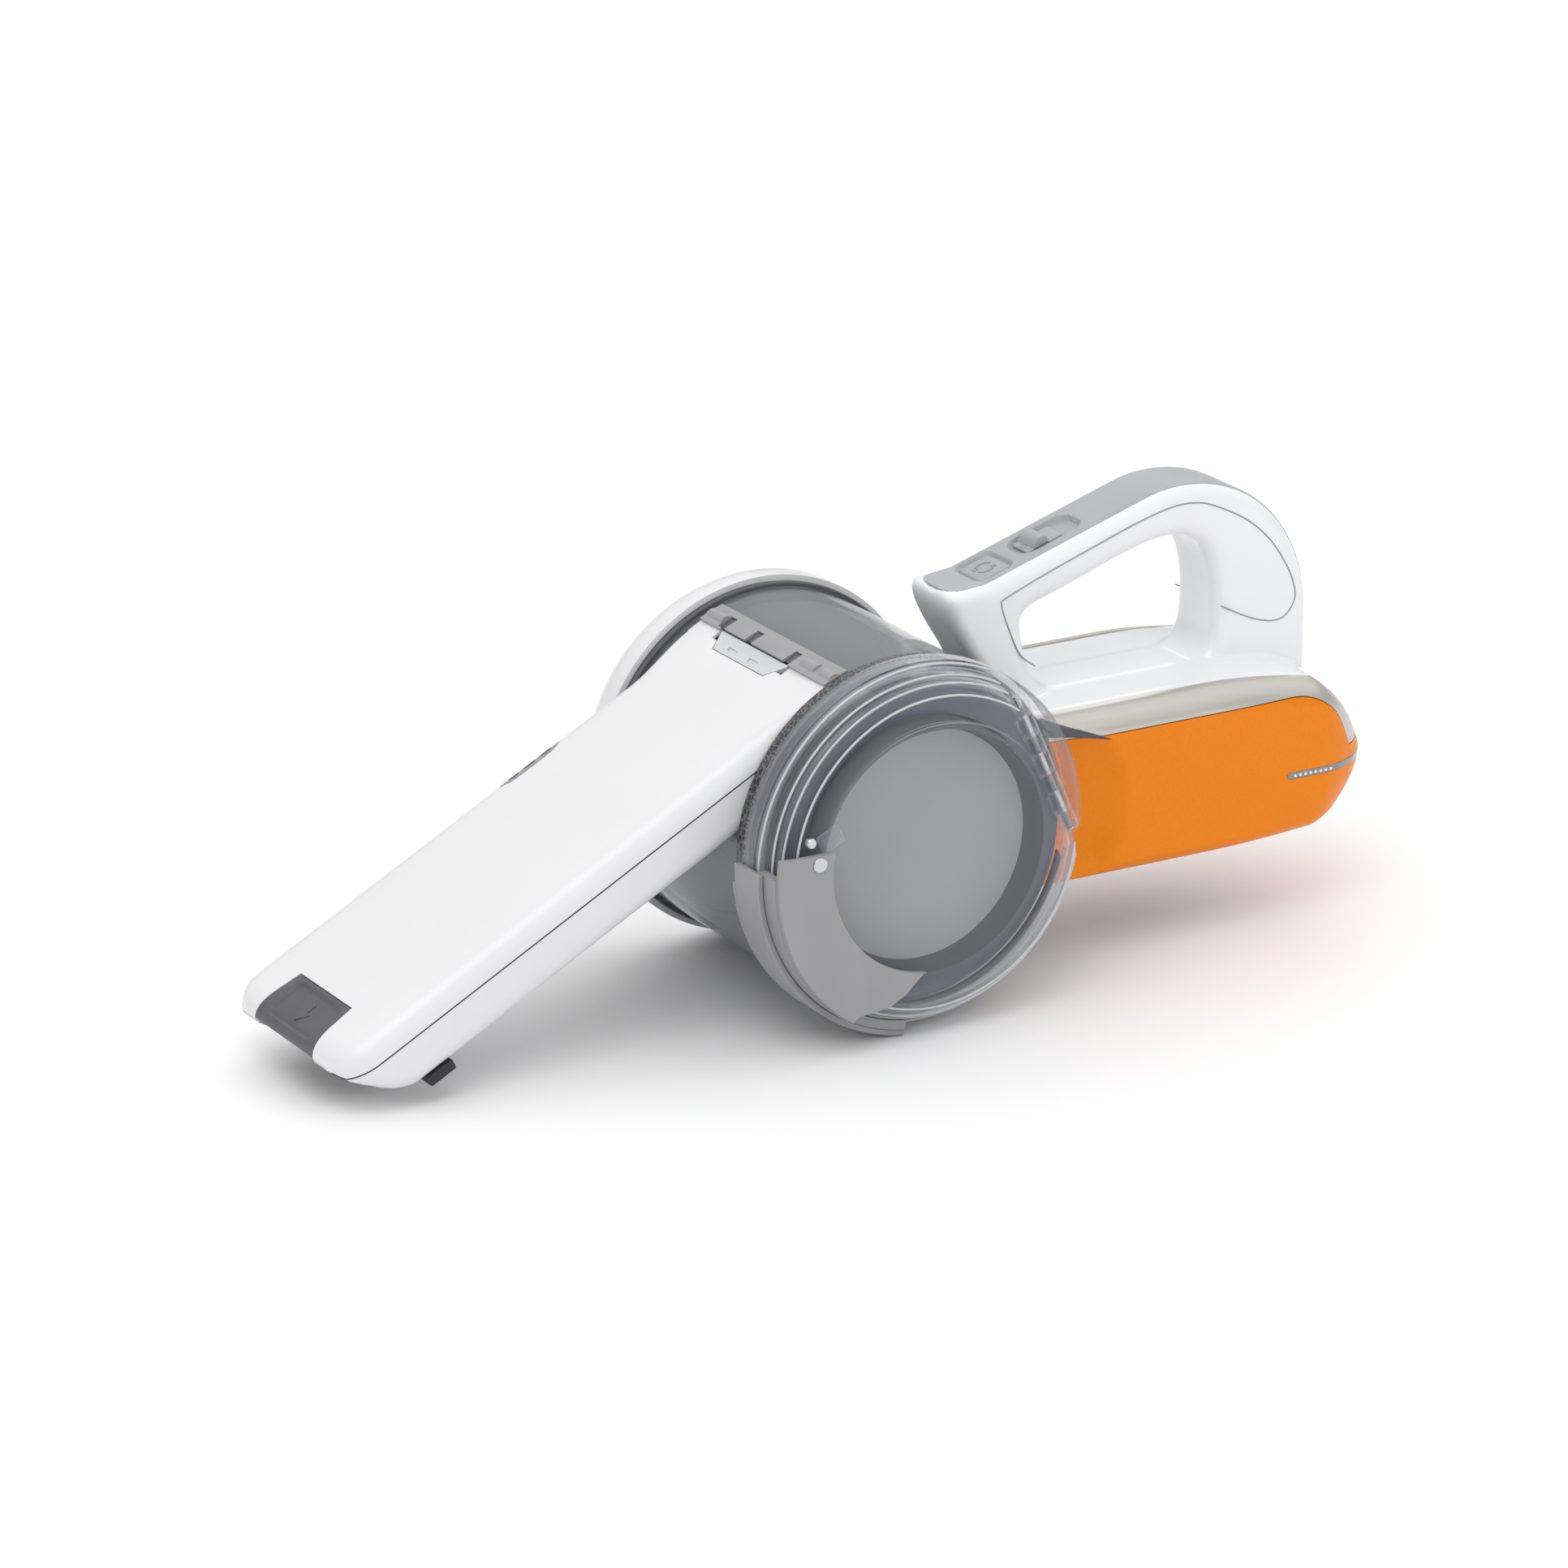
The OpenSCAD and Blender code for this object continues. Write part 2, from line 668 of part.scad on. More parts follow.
module trim_half(s) difference() {
    intersection() {
        body_shape();
        box([0, s < 0 ? -60 : 0.05, cover_z - 40], [250, s < 0 ? -0.05 : 60, 60]);
    }
    below_cover_edge(gap);
    deck_form(0);
    drum_room(2);
}
module trim_left() color("tan") difference() {
    trim_half(-1);
    scoop(0);
}
module trim_right() color("tan") trim_half(1);

// ---- Handle ---------------------------------------------------------------------------------------------

rise = [cos(grip_slope), sin(grip_slope)];
grip_end = [grip_x, grip_z] + 70.5 * rise;
rear_x = tail_x - 18;
crown = [grip_end, grip_end + 24 * rise, [rear_x - 7.5, 90], [rear_x, 46]];
nose = [[50.5, 44], [42, 57], [35, 70], [43.5, 69.8]];

// Outer outline of the handle, drawn in by d.
function handle_outer(d) = concat(
    [[66 + d, 10], [58 + d, 30]],
    curve(nose, 8, d),
    [[grip_x, grip_z] + d * [rise.y, -rise.x]],
    curve(crown, 16, d),
    [[rear_x - d, 8], [rear_x - 8 - d, -2]]);

// Finger opening, grown by d.
hole_start = [70.5, 53];
function handle_hole(d) = concat(
    curve([[83, deck_z + 0.2], [75, 30], [72, 42], hole_start], 6, -d),
    curve([[70, 55], [70, 60], [76, 59.8], [84, 62.6]], 5, -d),
    curve([[121, 74.4], [141, 81], [152, 68], [152.4, 47]], 8, -d),
    curve([[152.4, 42], [152.4, 34], [150, 30], [143, deck_z + 0.2]], 5, -d));

module handle_2d(d) difference() {
    polygon(handle_outer(d));
    polygon(handle_hole(d));
}

module handle_form(d) intersection() {
    along_y(-handle_w / 2 + d, handle_w / 2 - d) handle_2d(d);
    box([0, -60, 0], [250, 60, 120]);
}

// Frame on the grip: X back along it, Z out of it, at a distance s from its start.
module on_grip(s) translate([grip_x + s * rise.x, 0, grip_z + s * rise.y])
    rotate([0, -grip_slope, 0]) children();

module strip_form(d, side) intersection() {
    along_y(-strip_w / 2 - side, strip_w / 2 + side) difference() {
        polygon(handle_outer(0));
        polygon(handle_outer(strip_t + d));
    }
    box([30, -60, 42 - d], [240, 60, 120]);
    along_y(-60, 60) polygon([[30, 66 - d], [120, 66 - d], [185, 42 - d], [240, 42 - d],
        [240, 120], [30, 120]]);
}

button_s = 7;
button_len = 14;
button_wide = 17;
slot_s = 33;
slot_len = 24;
slot_wide = 12;
module grip_strip() color("silver") difference() {
    strip_form(-gap, 0);
    on_grip(button_s) box([-button_len / 2 - slip, -button_wide / 2 - slip, -9],
        [button_len / 2 + slip, button_wide / 2 + slip, 9]);
    on_grip(slot_s) box([-slot_len / 2, -slot_wide / 2, -1.4],
        [slot_len / 2, slot_wide / 2, 9]);
    on_grip(slot_s) box([-slot_len / 2 + 3, -3.4, -9], [slot_len / 2 - 3, 3.4, 9]);
}

module lock_button() color("silver") on_grip(button_s) {
    box([-button_len / 2, -button_wide / 2, -5], [button_len / 2, button_wide / 2, -0.8]);
    box([-3, -3, -12], [3, 3, -5]);
}

module power_slider() color("silver") on_grip(slot_s) {
    box([-slot_len / 2 + 1, -slot_wide / 2 + slip, -1.2], [slot_len / 2 - 7,
        slot_wide / 2 - slip, 0.6]);
    box([-6.5, -slot_wide / 2 + slip, 0.6], [-3, slot_wide / 2 - slip, 3.4]);
    box([-7, -2, -7], [-1, 2, -1.2]);
}

module switch_body() color("dimgray") on_grip(slot_s)
    difference() {
        box([-12, -5, -14], [9, 5, -5]);
        box([-7.6, -2.4, -9], [6, 2.4, -4]);
    }

// Room inside the grip for the button's stem and the switch.
module grip_room() {
    on_grip(button_s) box([-button_len / 2 - slip, -button_wide / 2 - slip, -10],
        [button_len / 2 + slip, button_wide / 2 + slip, 9]);
    on_grip(button_s) box([-4, -4, -17], [4, 4, -8]);
    on_grip(slot_s) box([-12.5, -5.5, -14.5], [9.5, 5.5, -4.6]);
    on_grip(slot_s) box([-slot_len / 2 + 3, -3.4, -9], [slot_len / 2 - 3, 3.4, 9]);
}

panel_t = 0.8;
module panel_2d(d) intersection() {
    difference() {
        polygon(handle_outer(4.6 - d));
        polygon(handle_hole(2.4 - d));
    }
    polygon([[60, 40 - d], [110, 60], [150, 50], [150, 44 - d], [230, 44 - d], [230, 120],
        [60, 120]]);
}
module grip_panel(s) along_y(s < 0 ? -handle_w / 2 : handle_w / 2 - panel_t,
    s < 0 ? -handle_w / 2 + panel_t : handle_w / 2) panel_2d(0);
module grip_panel_left() color("whitesmoke") grip_panel(-1);
module grip_panel_right() color("whitesmoke") grip_panel(1);

core_d = cover_t + gap;
room_d = core_d + housing_wall;
fan_x = body_front_r + 6;
motor_z = -4;
// Screw places as (x, z), in the body and then in the handle.
body_screws = [[fan_x + 28, -26], [tail_x - 66, 15.5], [tail_x - 66, -27]];
handle_screws = [[rear_x - 18, 50], [grip_x + 9.5, grip_z - 21]];
screws = concat(body_screws, handle_screws);

module body_room() difference() {
    body_form(room_d);
    drum_room(pivot_gap + 2.2);
    scoop(room_d);
}

module vent_region(d) box([tail_x - 110 - d, -20 - d, -belly_z - 1],
    [tail_x - 66 + d, 20 + d, -belly_z + 2.2 + d]);

module duct_region(d) box([body_front_r + 3 - d, 30, -26 - d],
    [body_front_r + 31 + d, hub_far, 10 + d]);

module housing_form() difference() {
    union() {
        difference() {
            intersection() {
                body_form(core_d);
                below_cover_edge(-gap);
            }
            scoop(core_d);
        }
        difference() {
            intersection() {
                body_shape();
                deck_form(gap);
                box([0, -60, 0], [250, 60, 60]);
            }
            scoop(core_d);
        }
        handle_form(0);
    }
    body_room();
    drum_room(0);
    grip_room();
    strip_form(0, gap);
    for (s = [-1, 1]) along_y(s < 0 ? -60 : handle_w / 2 - panel_t - gap,
        s < 0 ? -handle_w / 2 + panel_t + gap : 60) panel_2d(gap);
    vent_region(gap);
    translate([0, 0, socket_z]) rod_x(5.2, tail_x - 30, tail_x + 2);
    duct_region(gap);
    drum_room_front();
}

// The front wall is a separate frame, so the housing is open behind it.
module drum_room_front() intersection() {
    drum_room(pivot_gap + 2.4);
    box([0, -hw + 12, -belly_z + 3], [100, hw - 12, deck_z - 4]);
}

module housing_half(s) {
    difference() {
        union() {
            intersection() {
                housing_form();
                box([0, s < 0 ? -60 : 0.05, -60], [250, s < 0 ? -0.05 : 60, 120]);
            }
            for (p = body_screws) translate([p.x, 0, p.y]) disc_y(3.4,
                s < 0 ? -hw + core_d + 1 : 0.05, s < 0 ? -0.05 : hw - core_d - 1);
        }
        for (p = screws) translate([p.x, 0, p.y]) disc_y(1.5, -12, 13.5);
    }
}
module housing_left() color("white") housing_half(-1);
module housing_right() color("white") housing_half(1);

module housing_screws() color("dimgray") for (p = screws) translate([p.x, 0, p.y])
    disc_y(1.45, -11, 12);

module front_frame() color("dimgray") difference() {
    intersection() {
        tube_y(body_front_r + 0.6, body_front_r + 2.6, -hw + 12.2, hw - 12.2);
        box([0, -60, -belly_z + 3.2], [100, 60, deck_z - 4.2]);
    }
}

// ---- Motor, fan and battery -------------------------------------------------------------------------------

module at_motor() translate([0, 0, motor_z]) children();

module fan_housing() color("dimgray") at_motor() difference() {
    rod_x(23.4, fan_x, fan_x + 21);
    rod_x(21.9, fan_x + 2, fan_x + 22);
    rod_x(11, fan_x - 1, fan_x + 3);
}

module impeller() color("silver") at_motor() {
    difference() {
        union() {
            rod_x(20.8, fan_x + 15, fan_x + 16.6);
            rod_x(6, fan_x + 6, fan_x + 15);
            for (i = [0:10]) rotate([i * 360 / 11, 0, 0])
                box([fan_x + 4.5, -0.7, 5], [fan_x + 15, 0.7, 20.6]);
        }
        rod_x(1.6, fan_x, fan_x + 20);
    }
}

module motor_shaft() color("silver") at_motor() rod_x(1.6, fan_x + 5, fan_x + 66);

module motor_mount() color("dimgray") at_motor() difference() {
    rod_x(23.4, fan_x + 21, fan_x + 23.4);
    rod_x(6, fan_x + 20, fan_x + 24);
    for (a = [45:90:315]) rotate([a, 0, 0]) translate([0, 18.6, 0])
        rod_x(3, fan_x + 20, fan_x + 24);
}

module motor_can() color("silver") at_motor() difference() {
    union() {
        rod_x(17.8, fan_x + 23.4, fan_x + 60);
        rod_x(5.8, fan_x + 60, fan_x + 63);
        rod_x(5.8, fan_x + 21.2, fan_x + 23.4);
    }
    rod_x(1.6 + run, fan_x + 20, fan_x + 70);
    tube_x(8, 16.3, fan_x + 25.4, fan_x + 58);
}

cell_r = 9.1;
cell_len = 62;
cells = [[tail_x - 52, -19], [tail_x - 52, 1], [tail_x - 32, -19], [tail_x - 32, 1]];
module battery_cells() color("seagreen") for (c = cells)
    translate([c.x, 0, c.y]) disc_y(cell_r, -cell_len / 2, cell_len / 2);

module battery_holder() color("dimgray") difference() {
    box([tail_x - 61.6, -22, -28.6], [tail_x - 25, 22, 6]);
    for (c = cells) translate([c.x, 0, c.y]) disc_y(cell_r + gap, -40, 40);
}

module battery_contacts() color("silver") {
    for (z = [-19, 1]) box([tail_x - 57, -cell_len / 2 - 0.5, z - 3], [tail_x - 27,
        -cell_len / 2 - 0.05, z + 3]);
    for (x = [tail_x - 52, tail_x - 32]) box([x - 3, cell_len / 2 + 0.05, -24], [x + 3,
        cell_len / 2 + 0.5, 6]);
}

module circuit_board() color("darkgreen") {
    box([fan_x + 26, -24, 15.4], [fan_x + 58, 24, 17]);
    for (x = [32, 44], y = [-16, 12]) box([fan_x + x, y, 17], [fan_x + x + 7, y + 5, 19]);
}

module vent_grille() color("dimgray") difference() {
    box([tail_x - 110, -20, -belly_z], [tail_x - 66, 20, -belly_z + 2.2]);
    for (i = [0:7]) box([tail_x - 107 + i * 5, -17, -belly_z - 1],
        [tail_x - 104 + i * 5, 17, -belly_z + 4]);
}

module exhaust_foam() color("black")
    box([tail_x - 104.5, -18, -belly_z + 5.4], [tail_x - 71, 18, -belly_z + 9]);

module charge_socket() color("black") translate([0, 0, socket_z]) difference() {
    rod_x(5, tail_x - 17, tail_x - 4.2);
    rod_x(2.85, tail_x - 13.7, tail_x);
}

// ---- Hub on the far side ---------------------------------------------------------------------------------------

hub_near = drum_far + 4.2;
arm_low = -28;
arm_high = 12;
arm_end = body_front_r + 35;
hub_plate = 2.4;
cap_near = hub_near + hub_plate + gap;

// Outline of the arm from the hub to the body, drawn in by d.
module arm_outline(d) polygon([[10, hub_r - 11 - d], [52, arm_high + 9 - d],
    [arm_end - d, arm_high + 1 - d], [arm_end - d, arm_low - 1 + d],
    [50, arm_low - 11 + d], [10, -hub_r + 8 + d]]);

module hub_arm() color("whitesmoke") difference() {
    union() {
        along_y(hub_near, hub_near + hub_plate) {
            circle(hub_r - 2.6);
            arm_outline(1);
        }
        difference() {
            box([body_front_r + 1, hw + gap, arm_low + 1],
                [arm_end - 2, hub_near, arm_high - 1]);
            drum_room(-1);
        }
    }
    duct_region(0);
    disc_y(axle_r + 3, hub_near - 1, hub_near + 4);
    rotate([0, -30, 0]) translate([detent_r, 0, 0]) disc_y(2.5 + run, 40, 80);
}

module hub_bearing() color("ivory")
    tube_y(axle_r + run, axle_r + 3, hub_near, hub_near + 6);

module hub_cap() color("white") difference() {
    union() {
        turned() polygon([[0, cap_near], [hub_r, cap_near],
            [hub_r, hub_far - 7], [hub_r - 1.6, hub_far - 3.4], [hub_r - 5, hub_far - 1],
            [hub_r - 12, hub_far], [0, hub_far]]);
        tube_y(hub_r - hub_plate, hub_r, drum_far + 2.9, cap_near + 0.1);
        along_y(cap_near, hub_far - 4) arm_outline(0);
    }
    disc_y(hub_r - 6, hub_near, hub_far - 3);
    along_y(hub_near, hub_far - 6) arm_outline(3);
    along_y(hub_near - gap, cap_near) arm_outline(1 - gap);
}

module lock_pawl() color("silver") rotate([0, -30, 0]) translate([detent_r, 0, 0]) {
    disc_y(2.5, drum_far + 4.1, hub_near + 6);
    disc_y(3.8, hub_near + 6, hub_near + 7.2);
}

// ---- The model -----------------------------------------------------------------------------------------------------

in_row() drum_shell();
in_row() drum_end_plate();
in_row() drum_front_ring();
in_row() drum_felt();
in_row() textured_band();
in_row() detent_ring();
in_row() hub_retainer();
in_row() nozzle_top_shell();
in_row() nozzle_bottom_shell();
in_row() nozzle_knuckles();
in_row() side_inlay();
in_row() nozzle_feet();
in_row() lid_window();
in_row() lid_seal();
in_row() lid_hinge_pin();
in_row() latch_pin();
in_row() latch_band();
in_row() latch_plate();
in_row() filter_cup();
in_row() filter_pleats();
in_row() filter_frame();
in_row() prefilter_screen();
in_row() crevice_tube();
in_row() crevice_pull();
in_row() release_tab();
in_row() inlet_flap();
in_row() housing_left();
in_row() housing_right();
in_row() cover_left();
in_row() cover_right();
in_row() trim_left();
in_row() trim_right();
in_row() grip_strip();
in_row() grip_panel_left();
in_row() grip_panel_right();
in_row() hub_arm();
in_row() hub_cap();
in_row() hub_bearing();
in_row() front_frame();
in_row() charge_indicator();
in_row() indicator_leds();
in_row() vent_grille();
in_row() exhaust_foam();
in_row() fan_housing();
in_row() motor_can();
in_row() motor_mount();
in_row() impeller();
in_row() motor_shaft();
in_row() battery_cells();
in_row() battery_holder();
in_row() battery_contacts();
in_row() circuit_board();
in_row() switch_body();
in_row() charge_socket();
in_row() housing_screws();
in_row() lock_button();
in_row() lock_pawl();
in_row() power_slider();
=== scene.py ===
"""Handheld vacuum with a pivoting drum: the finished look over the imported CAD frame."""
import json
import math

import bmesh
import bpy
from mathutils import Matrix, Vector
from mathutils.kdtree import KDTree


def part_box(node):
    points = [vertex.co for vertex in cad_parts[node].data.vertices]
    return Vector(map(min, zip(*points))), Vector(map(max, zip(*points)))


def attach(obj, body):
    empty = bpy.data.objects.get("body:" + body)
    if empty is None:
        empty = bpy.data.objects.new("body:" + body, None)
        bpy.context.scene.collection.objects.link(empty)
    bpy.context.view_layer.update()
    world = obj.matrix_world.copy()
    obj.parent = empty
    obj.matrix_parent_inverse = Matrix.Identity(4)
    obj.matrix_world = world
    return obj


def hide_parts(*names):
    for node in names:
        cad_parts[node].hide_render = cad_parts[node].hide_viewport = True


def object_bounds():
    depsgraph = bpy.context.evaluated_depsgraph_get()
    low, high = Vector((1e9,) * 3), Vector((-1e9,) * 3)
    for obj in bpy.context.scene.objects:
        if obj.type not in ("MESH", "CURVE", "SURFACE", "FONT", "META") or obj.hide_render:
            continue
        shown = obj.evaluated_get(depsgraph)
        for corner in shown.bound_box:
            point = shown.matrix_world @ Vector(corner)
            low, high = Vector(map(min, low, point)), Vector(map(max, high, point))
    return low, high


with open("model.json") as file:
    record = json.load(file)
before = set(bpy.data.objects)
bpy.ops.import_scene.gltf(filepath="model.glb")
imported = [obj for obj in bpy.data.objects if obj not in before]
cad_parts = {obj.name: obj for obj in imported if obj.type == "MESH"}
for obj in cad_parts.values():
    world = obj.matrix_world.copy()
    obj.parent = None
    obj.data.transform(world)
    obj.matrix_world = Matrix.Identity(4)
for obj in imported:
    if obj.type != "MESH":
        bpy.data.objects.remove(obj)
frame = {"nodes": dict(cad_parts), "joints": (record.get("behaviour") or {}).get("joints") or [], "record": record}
CAD_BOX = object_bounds()

bl_info = {
    "name": "Pivoting Hand Vacuum",
    "version": (1, 0, 0),
    "blender": (4, 5, 0),
    "location": "View3D > Sidebar > Vacuum",
    "description": "Builds the shells, clear lid, grip and finishes of a pivoting hand vacuum",
    "category": "Object",
}

# ---- Frames and sizes. Shapes are drawn in millimetres from the drum's axis ---------------------

MM = 0.001
JOINTS = {joint["name"]: joint for joint in frame["joints"]}
AXIS = Vector(JOINTS["drum_pivot"]["pos_m"])
PLACE = Matrix.Translation(AXIS) @ Matrix.Scale(MM, 4)
ON_SIDE = Matrix.Rotation(math.radians(90), 4, "X")


def span(node, axis):
    """Lowest and highest place of a CAD node on one axis, in millimetres from the drum's axis."""
    low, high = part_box(node)
    return (low[axis] - AXIS[axis]) / MM, (high[axis] - AXIS[axis]) / MM


NOZZLE_TILT = 28.1
NOZZLE = PLACE @ Matrix.Rotation(math.radians(-NOZZLE_TILT), 4, "Y")
NOZZLE_REACH = 213.0
NOZZLE_HALF = 43.0
NOZZLE_TOP = span("drum_shell", 2)[1]
NOZZLE_LOW = NOZZLE_TOP - 27.0
PARTING = 9.5
EDGE_ROUND = PARTING * 0.98
HINGE_TURN = 24.0

HALF = span("cover_right", 1)[1]
TAIL = span("cover_left", 0)[1]
BELLY = span("cover_left", 2)[0]
TAIL_MID = -9.0
EDGE = span("cover_left", 2)[1]
DECK = span("trim_left", 2)[1]
TRIM = 9.0
CORNER = 30.0
DECK_END = TAIL - 49.5
LOW_R = TAIL_MID - BELLY
TOP_R = ((TAIL - DECK_END) ** 2 + (DECK - TAIL_MID) ** 2) / (2 * (DECK - TAIL_MID))
FRONT_R = 68.3
GRIP = Vector((55.7, 71.1))
SLOPE = math.radians(17.6)
RISE = Vector((math.cos(SLOPE), math.sin(SLOPE)))
HANDLE_HALF = 15.0
GRIP_TURN = Matrix.Translation((GRIP.x, 0, GRIP.y)) @ Matrix.Rotation(-SLOPE, 4, "Y")
ON_GRIP = PLACE @ GRIP_TURN
RIM_R = 65.0
LID_FACE = -72.6
CUP_R = span("filter_cup", 0)[1]


# ---- Shader graph helpers ------------------------------------------------------------


class Value:
    """A number socket that adds a Math node for each operation on it."""

    def __init__(self, graph, socket):
        self.graph, self.socket = graph, socket

    def _math(self, operation, first, second):
        node = self.graph.node("ShaderNodeMath", {"operation": operation}, {0: first, 1: second})
        return Value(self.graph, node.outputs[0])

    def __add__(self, other):
        return self._math("ADD", self, other)

    def __sub__(self, other):
        return self._math("SUBTRACT", self, other)

    def __rsub__(self, other):
        return self._math("SUBTRACT", other, self)

    def __mul__(self, other):
        return self._math("MULTIPLY", self, other)

    def __pow__(self, other):
        return self._math("POWER", self, other)

    def over(self, limit):
        return self._math("GREATER_THAN", self, limit)

    __radd__ = __add__
    __rmul__ = __mul__


class Graph:
    """A node tree, for a material or for Geometry Nodes, filled by one method."""

    def __init__(self, tree):
        self.tree = tree

    def node(self, kind, settings=None, values=None):
        made = self.tree.nodes.new(kind)
        for key, setting in (settings or {}).items():
            setattr(made, key, setting)
        for key, value in (values or {}).items():
            if isinstance(value, Value):
                value = value.socket
            if isinstance(value, bpy.types.NodeSocket):
                self.tree.links.new(value, made.inputs[key])
            else:
                made.inputs[key].default_value = value
        return made

    def number(self, kind, settings=None, values=None, out=0):
        return Value(self, self.node(kind, settings, values).outputs[out])

    def mix(self, factor, first, second):
        return self.node("ShaderNodeMix", {"data_type": "RGBA"},
                         {0: factor, 6: first, 7: second}).outputs[2]


class Finish(Graph):
    """A material with one Principled shader, object coordinates and the usual textures."""

    def __init__(self, name, colour, roughness, **fixed):
        self.material = bpy.data.materials.new(name)
        self.material.use_nodes = True
        super().__init__(self.material.node_tree)
        self.tree.nodes.clear()
        self.shader = self.node("ShaderNodeBsdfPrincipled", None, {
            "Base Color": (*colour, 1), "Roughness": roughness, **fixed})
        self.node("ShaderNodeOutputMaterial", None, {0: self.shader.outputs[0]})
        self.place = self.node("ShaderNodeTexCoord").outputs["Object"]
        self.material.diffuse_color = (*colour, 1)

    def noise(self, size, detail=2.0, stretch=None):
        """Noise with features of about this size in millimetres."""
        place = self.place
        if stretch:
            place = self.node("ShaderNodeMapping", None, {0: place, "Scale": stretch}).outputs[0]
        return self.number("ShaderNodeTexNoise", None,
                           {"Vector": place, "Scale": 1 / (size * MM), "Detail": detail})

    def cells(self, size, feature="F1", out="Distance"):
        return self.number("ShaderNodeTexVoronoi", {"feature": feature},
                           {"Vector": self.place, "Scale": 1 / (size * MM)}, out)

    def tint(self, factor, first, second):
        self.tree.links.new(self.mix(factor, (*first, 1), (*second, 1)), self.shader.inputs[0])

    def feed(self, socket, value):
        self.tree.links.new(value.socket, self.shader.inputs[socket])

    def bump(self, height, depth, strength=1.0):
        """Bumps of this depth in millimetres."""
        made = self.node("ShaderNodeBump", None,
                         {"Strength": strength, "Distance": depth * MM, "Height": height})
        self.tree.links.new(made.outputs[0], self.shader.inputs["Normal"])


# ---- Materials ------------------------------------------------------------


def white_plastic(name="white_plastic", colour=(0.74, 0.74, 0.75), shine=0.30):
    """Glossy moulded white with a faint orange-peel surface and uneven sheen."""
    made = Finish(name, colour, shine, **{"Coat Roughness": 0.12, "Coat Weight": 0.3})
    cloud = made.noise(38)
    made.tint(cloud, [c * 0.97 for c in colour], [min(1, c * 1.03) for c in colour])
    made.feed("Roughness", cloud * 0.08 + (shine - 0.04) + made.noise(0.9) * 0.04)
    made.bump(made.noise(1.6, 1), 0.02, 0.35)
    return made.material


def gloss_white():
    return white_plastic("gloss_white", (0.82, 0.825, 0.835), 0.16)


def soft_grey():
    """Soft-touch grip: matt, with a fine moulded grain."""
    made = Finish("soft_grey", (0.36, 0.37, 0.385), 0.5, **{"Sheen Weight": 0.12})
    made.tint(made.noise(22), (0.34, 0.35, 0.365), (0.38, 0.39, 0.405))
    made.feed("Roughness", made.noise(0.6) * 0.14 + 0.40)
    made.bump(made.cells(0.45), 0.03, 0.35)
    return made.material


def orange_paint():
    """Satin metallic paint: fine flakes under a thin coat."""
    made = Finish("orange_paint", (0.80, 0.215, 0.001), 0.38,
                  **{"Metallic": 0.35, "Coat Weight": 0.1, "Coat Roughness": 0.25,
                     "Specular IOR Level": 0.25})
    flake = made.cells(0.22, out="Color")
    made.tint(flake, (0.74, 0.19, 0.0), (0.88, 0.25, 0.002))
    made.feed("Roughness", made.noise(30) * 0.06 + flake * 0.10 + 0.31)
    made.bump(made.cells(0.35), 0.012, 0.4)
    return made.material


def champagne():
    """Satin warm metal paint with a faint brushed drift along the body."""
    made = Finish("champagne", (0.56, 0.535, 0.50), 0.34, **{"Metallic": 0.85})
    drift = made.noise(3.0, 3, (0.03, 1, 1))
    made.tint(drift, (0.52, 0.495, 0.46), (0.61, 0.585, 0.55))
    made.feed("Roughness", drift * 0.12 + 0.27)
    made.bump(made.cells(0.3), 0.01, 0.3)
    return made.material


def smoke_clear():
    """Smoke-tinted clear plastic: thinner where it faces the eye, denser at its edges."""
    made = Finish("smoke_clear", (0.26, 0.275, 0.30), 0.07, **{"Coat Weight": 0.7})
    facing = made.number("ShaderNodeLayerWeight", None, {"Blend": 0.35}, "Facing")
    made.feed("Alpha", facing * 0.5 + 0.16 + made.noise(45) * 0.05)
    made.feed("Roughness", made.noise(18) * 0.07 + 0.04)
    return made.material


def lid_clear():
    """Clear lid: nearly nothing face on; its colour turns milky blue-white at grazing angles, a painted
    reflection.
    """
    made = Finish("lid_clear", (0.74, 0.79, 0.86), 0.04, **{"Coat Weight": 1.0, "IOR": 1.5})
    facing = made.number("ShaderNodeLayerWeight", None, {"Blend": 0.5}, "Facing")
    # Painted reflection: the base colour lightens to blue-white where the surface turns away from the eye.
    made.tint(facing, (0.42, 0.48, 0.58), (0.90, 0.93, 0.97))
    made.feed("Alpha", facing ** 2.2 * 0.85 + 0.045)
    made.feed("Roughness", made.noise(30) * 0.05 + 0.02)
    made.bump(made.noise(24, 1), 0.25, 0.3)
    return made.material


def frosted_clear():
    """Pale translucent tab and hinge plastic."""
    made = Finish("frosted_clear", (0.66, 0.68, 0.70), 0.18, **{"Coat Weight": 0.5})
    facing = made.number("ShaderNodeLayerWeight", None, {"Blend": 0.4}, "Facing")
    made.feed("Alpha", facing * 0.3 + 0.72)
    made.tint(made.noise(5), (0.60, 0.62, 0.64), (0.72, 0.74, 0.76))
    return made.material


def mid_grey():
    """Latch plastic: satin grey with soft mould flow marks."""
    made = Finish("mid_grey", (0.30, 0.30, 0.31), 0.38)
    flow = made.noise(16, 3, (1, 1, 0.4))
    made.tint(flow, (0.275, 0.275, 0.285), (0.335, 0.335, 0.345))
    made.feed("Roughness", flow * 0.1 + 0.32)
    made.bump(made.noise(0.5), 0.015, 0.3)
    return made.material


def dark_grey(name="dark_grey", colour=(0.085, 0.085, 0.092), rough=0.46):
    """Dark moulded plastic with a sandblasted grain."""
    made = Finish(name, colour, rough)
    made.tint(made.noise(9, 3), [c * 0.9 for c in colour], [c * 1.15 for c in colour])
    made.feed("Roughness", made.noise(0.8) * 0.16 + (rough - 0.08))
    made.bump(made.cells(0.4), 0.02, 0.4)
    return made.material


def black_rubber():
    return dark_grey("black_rubber", (0.022, 0.022, 0.024), 0.62)


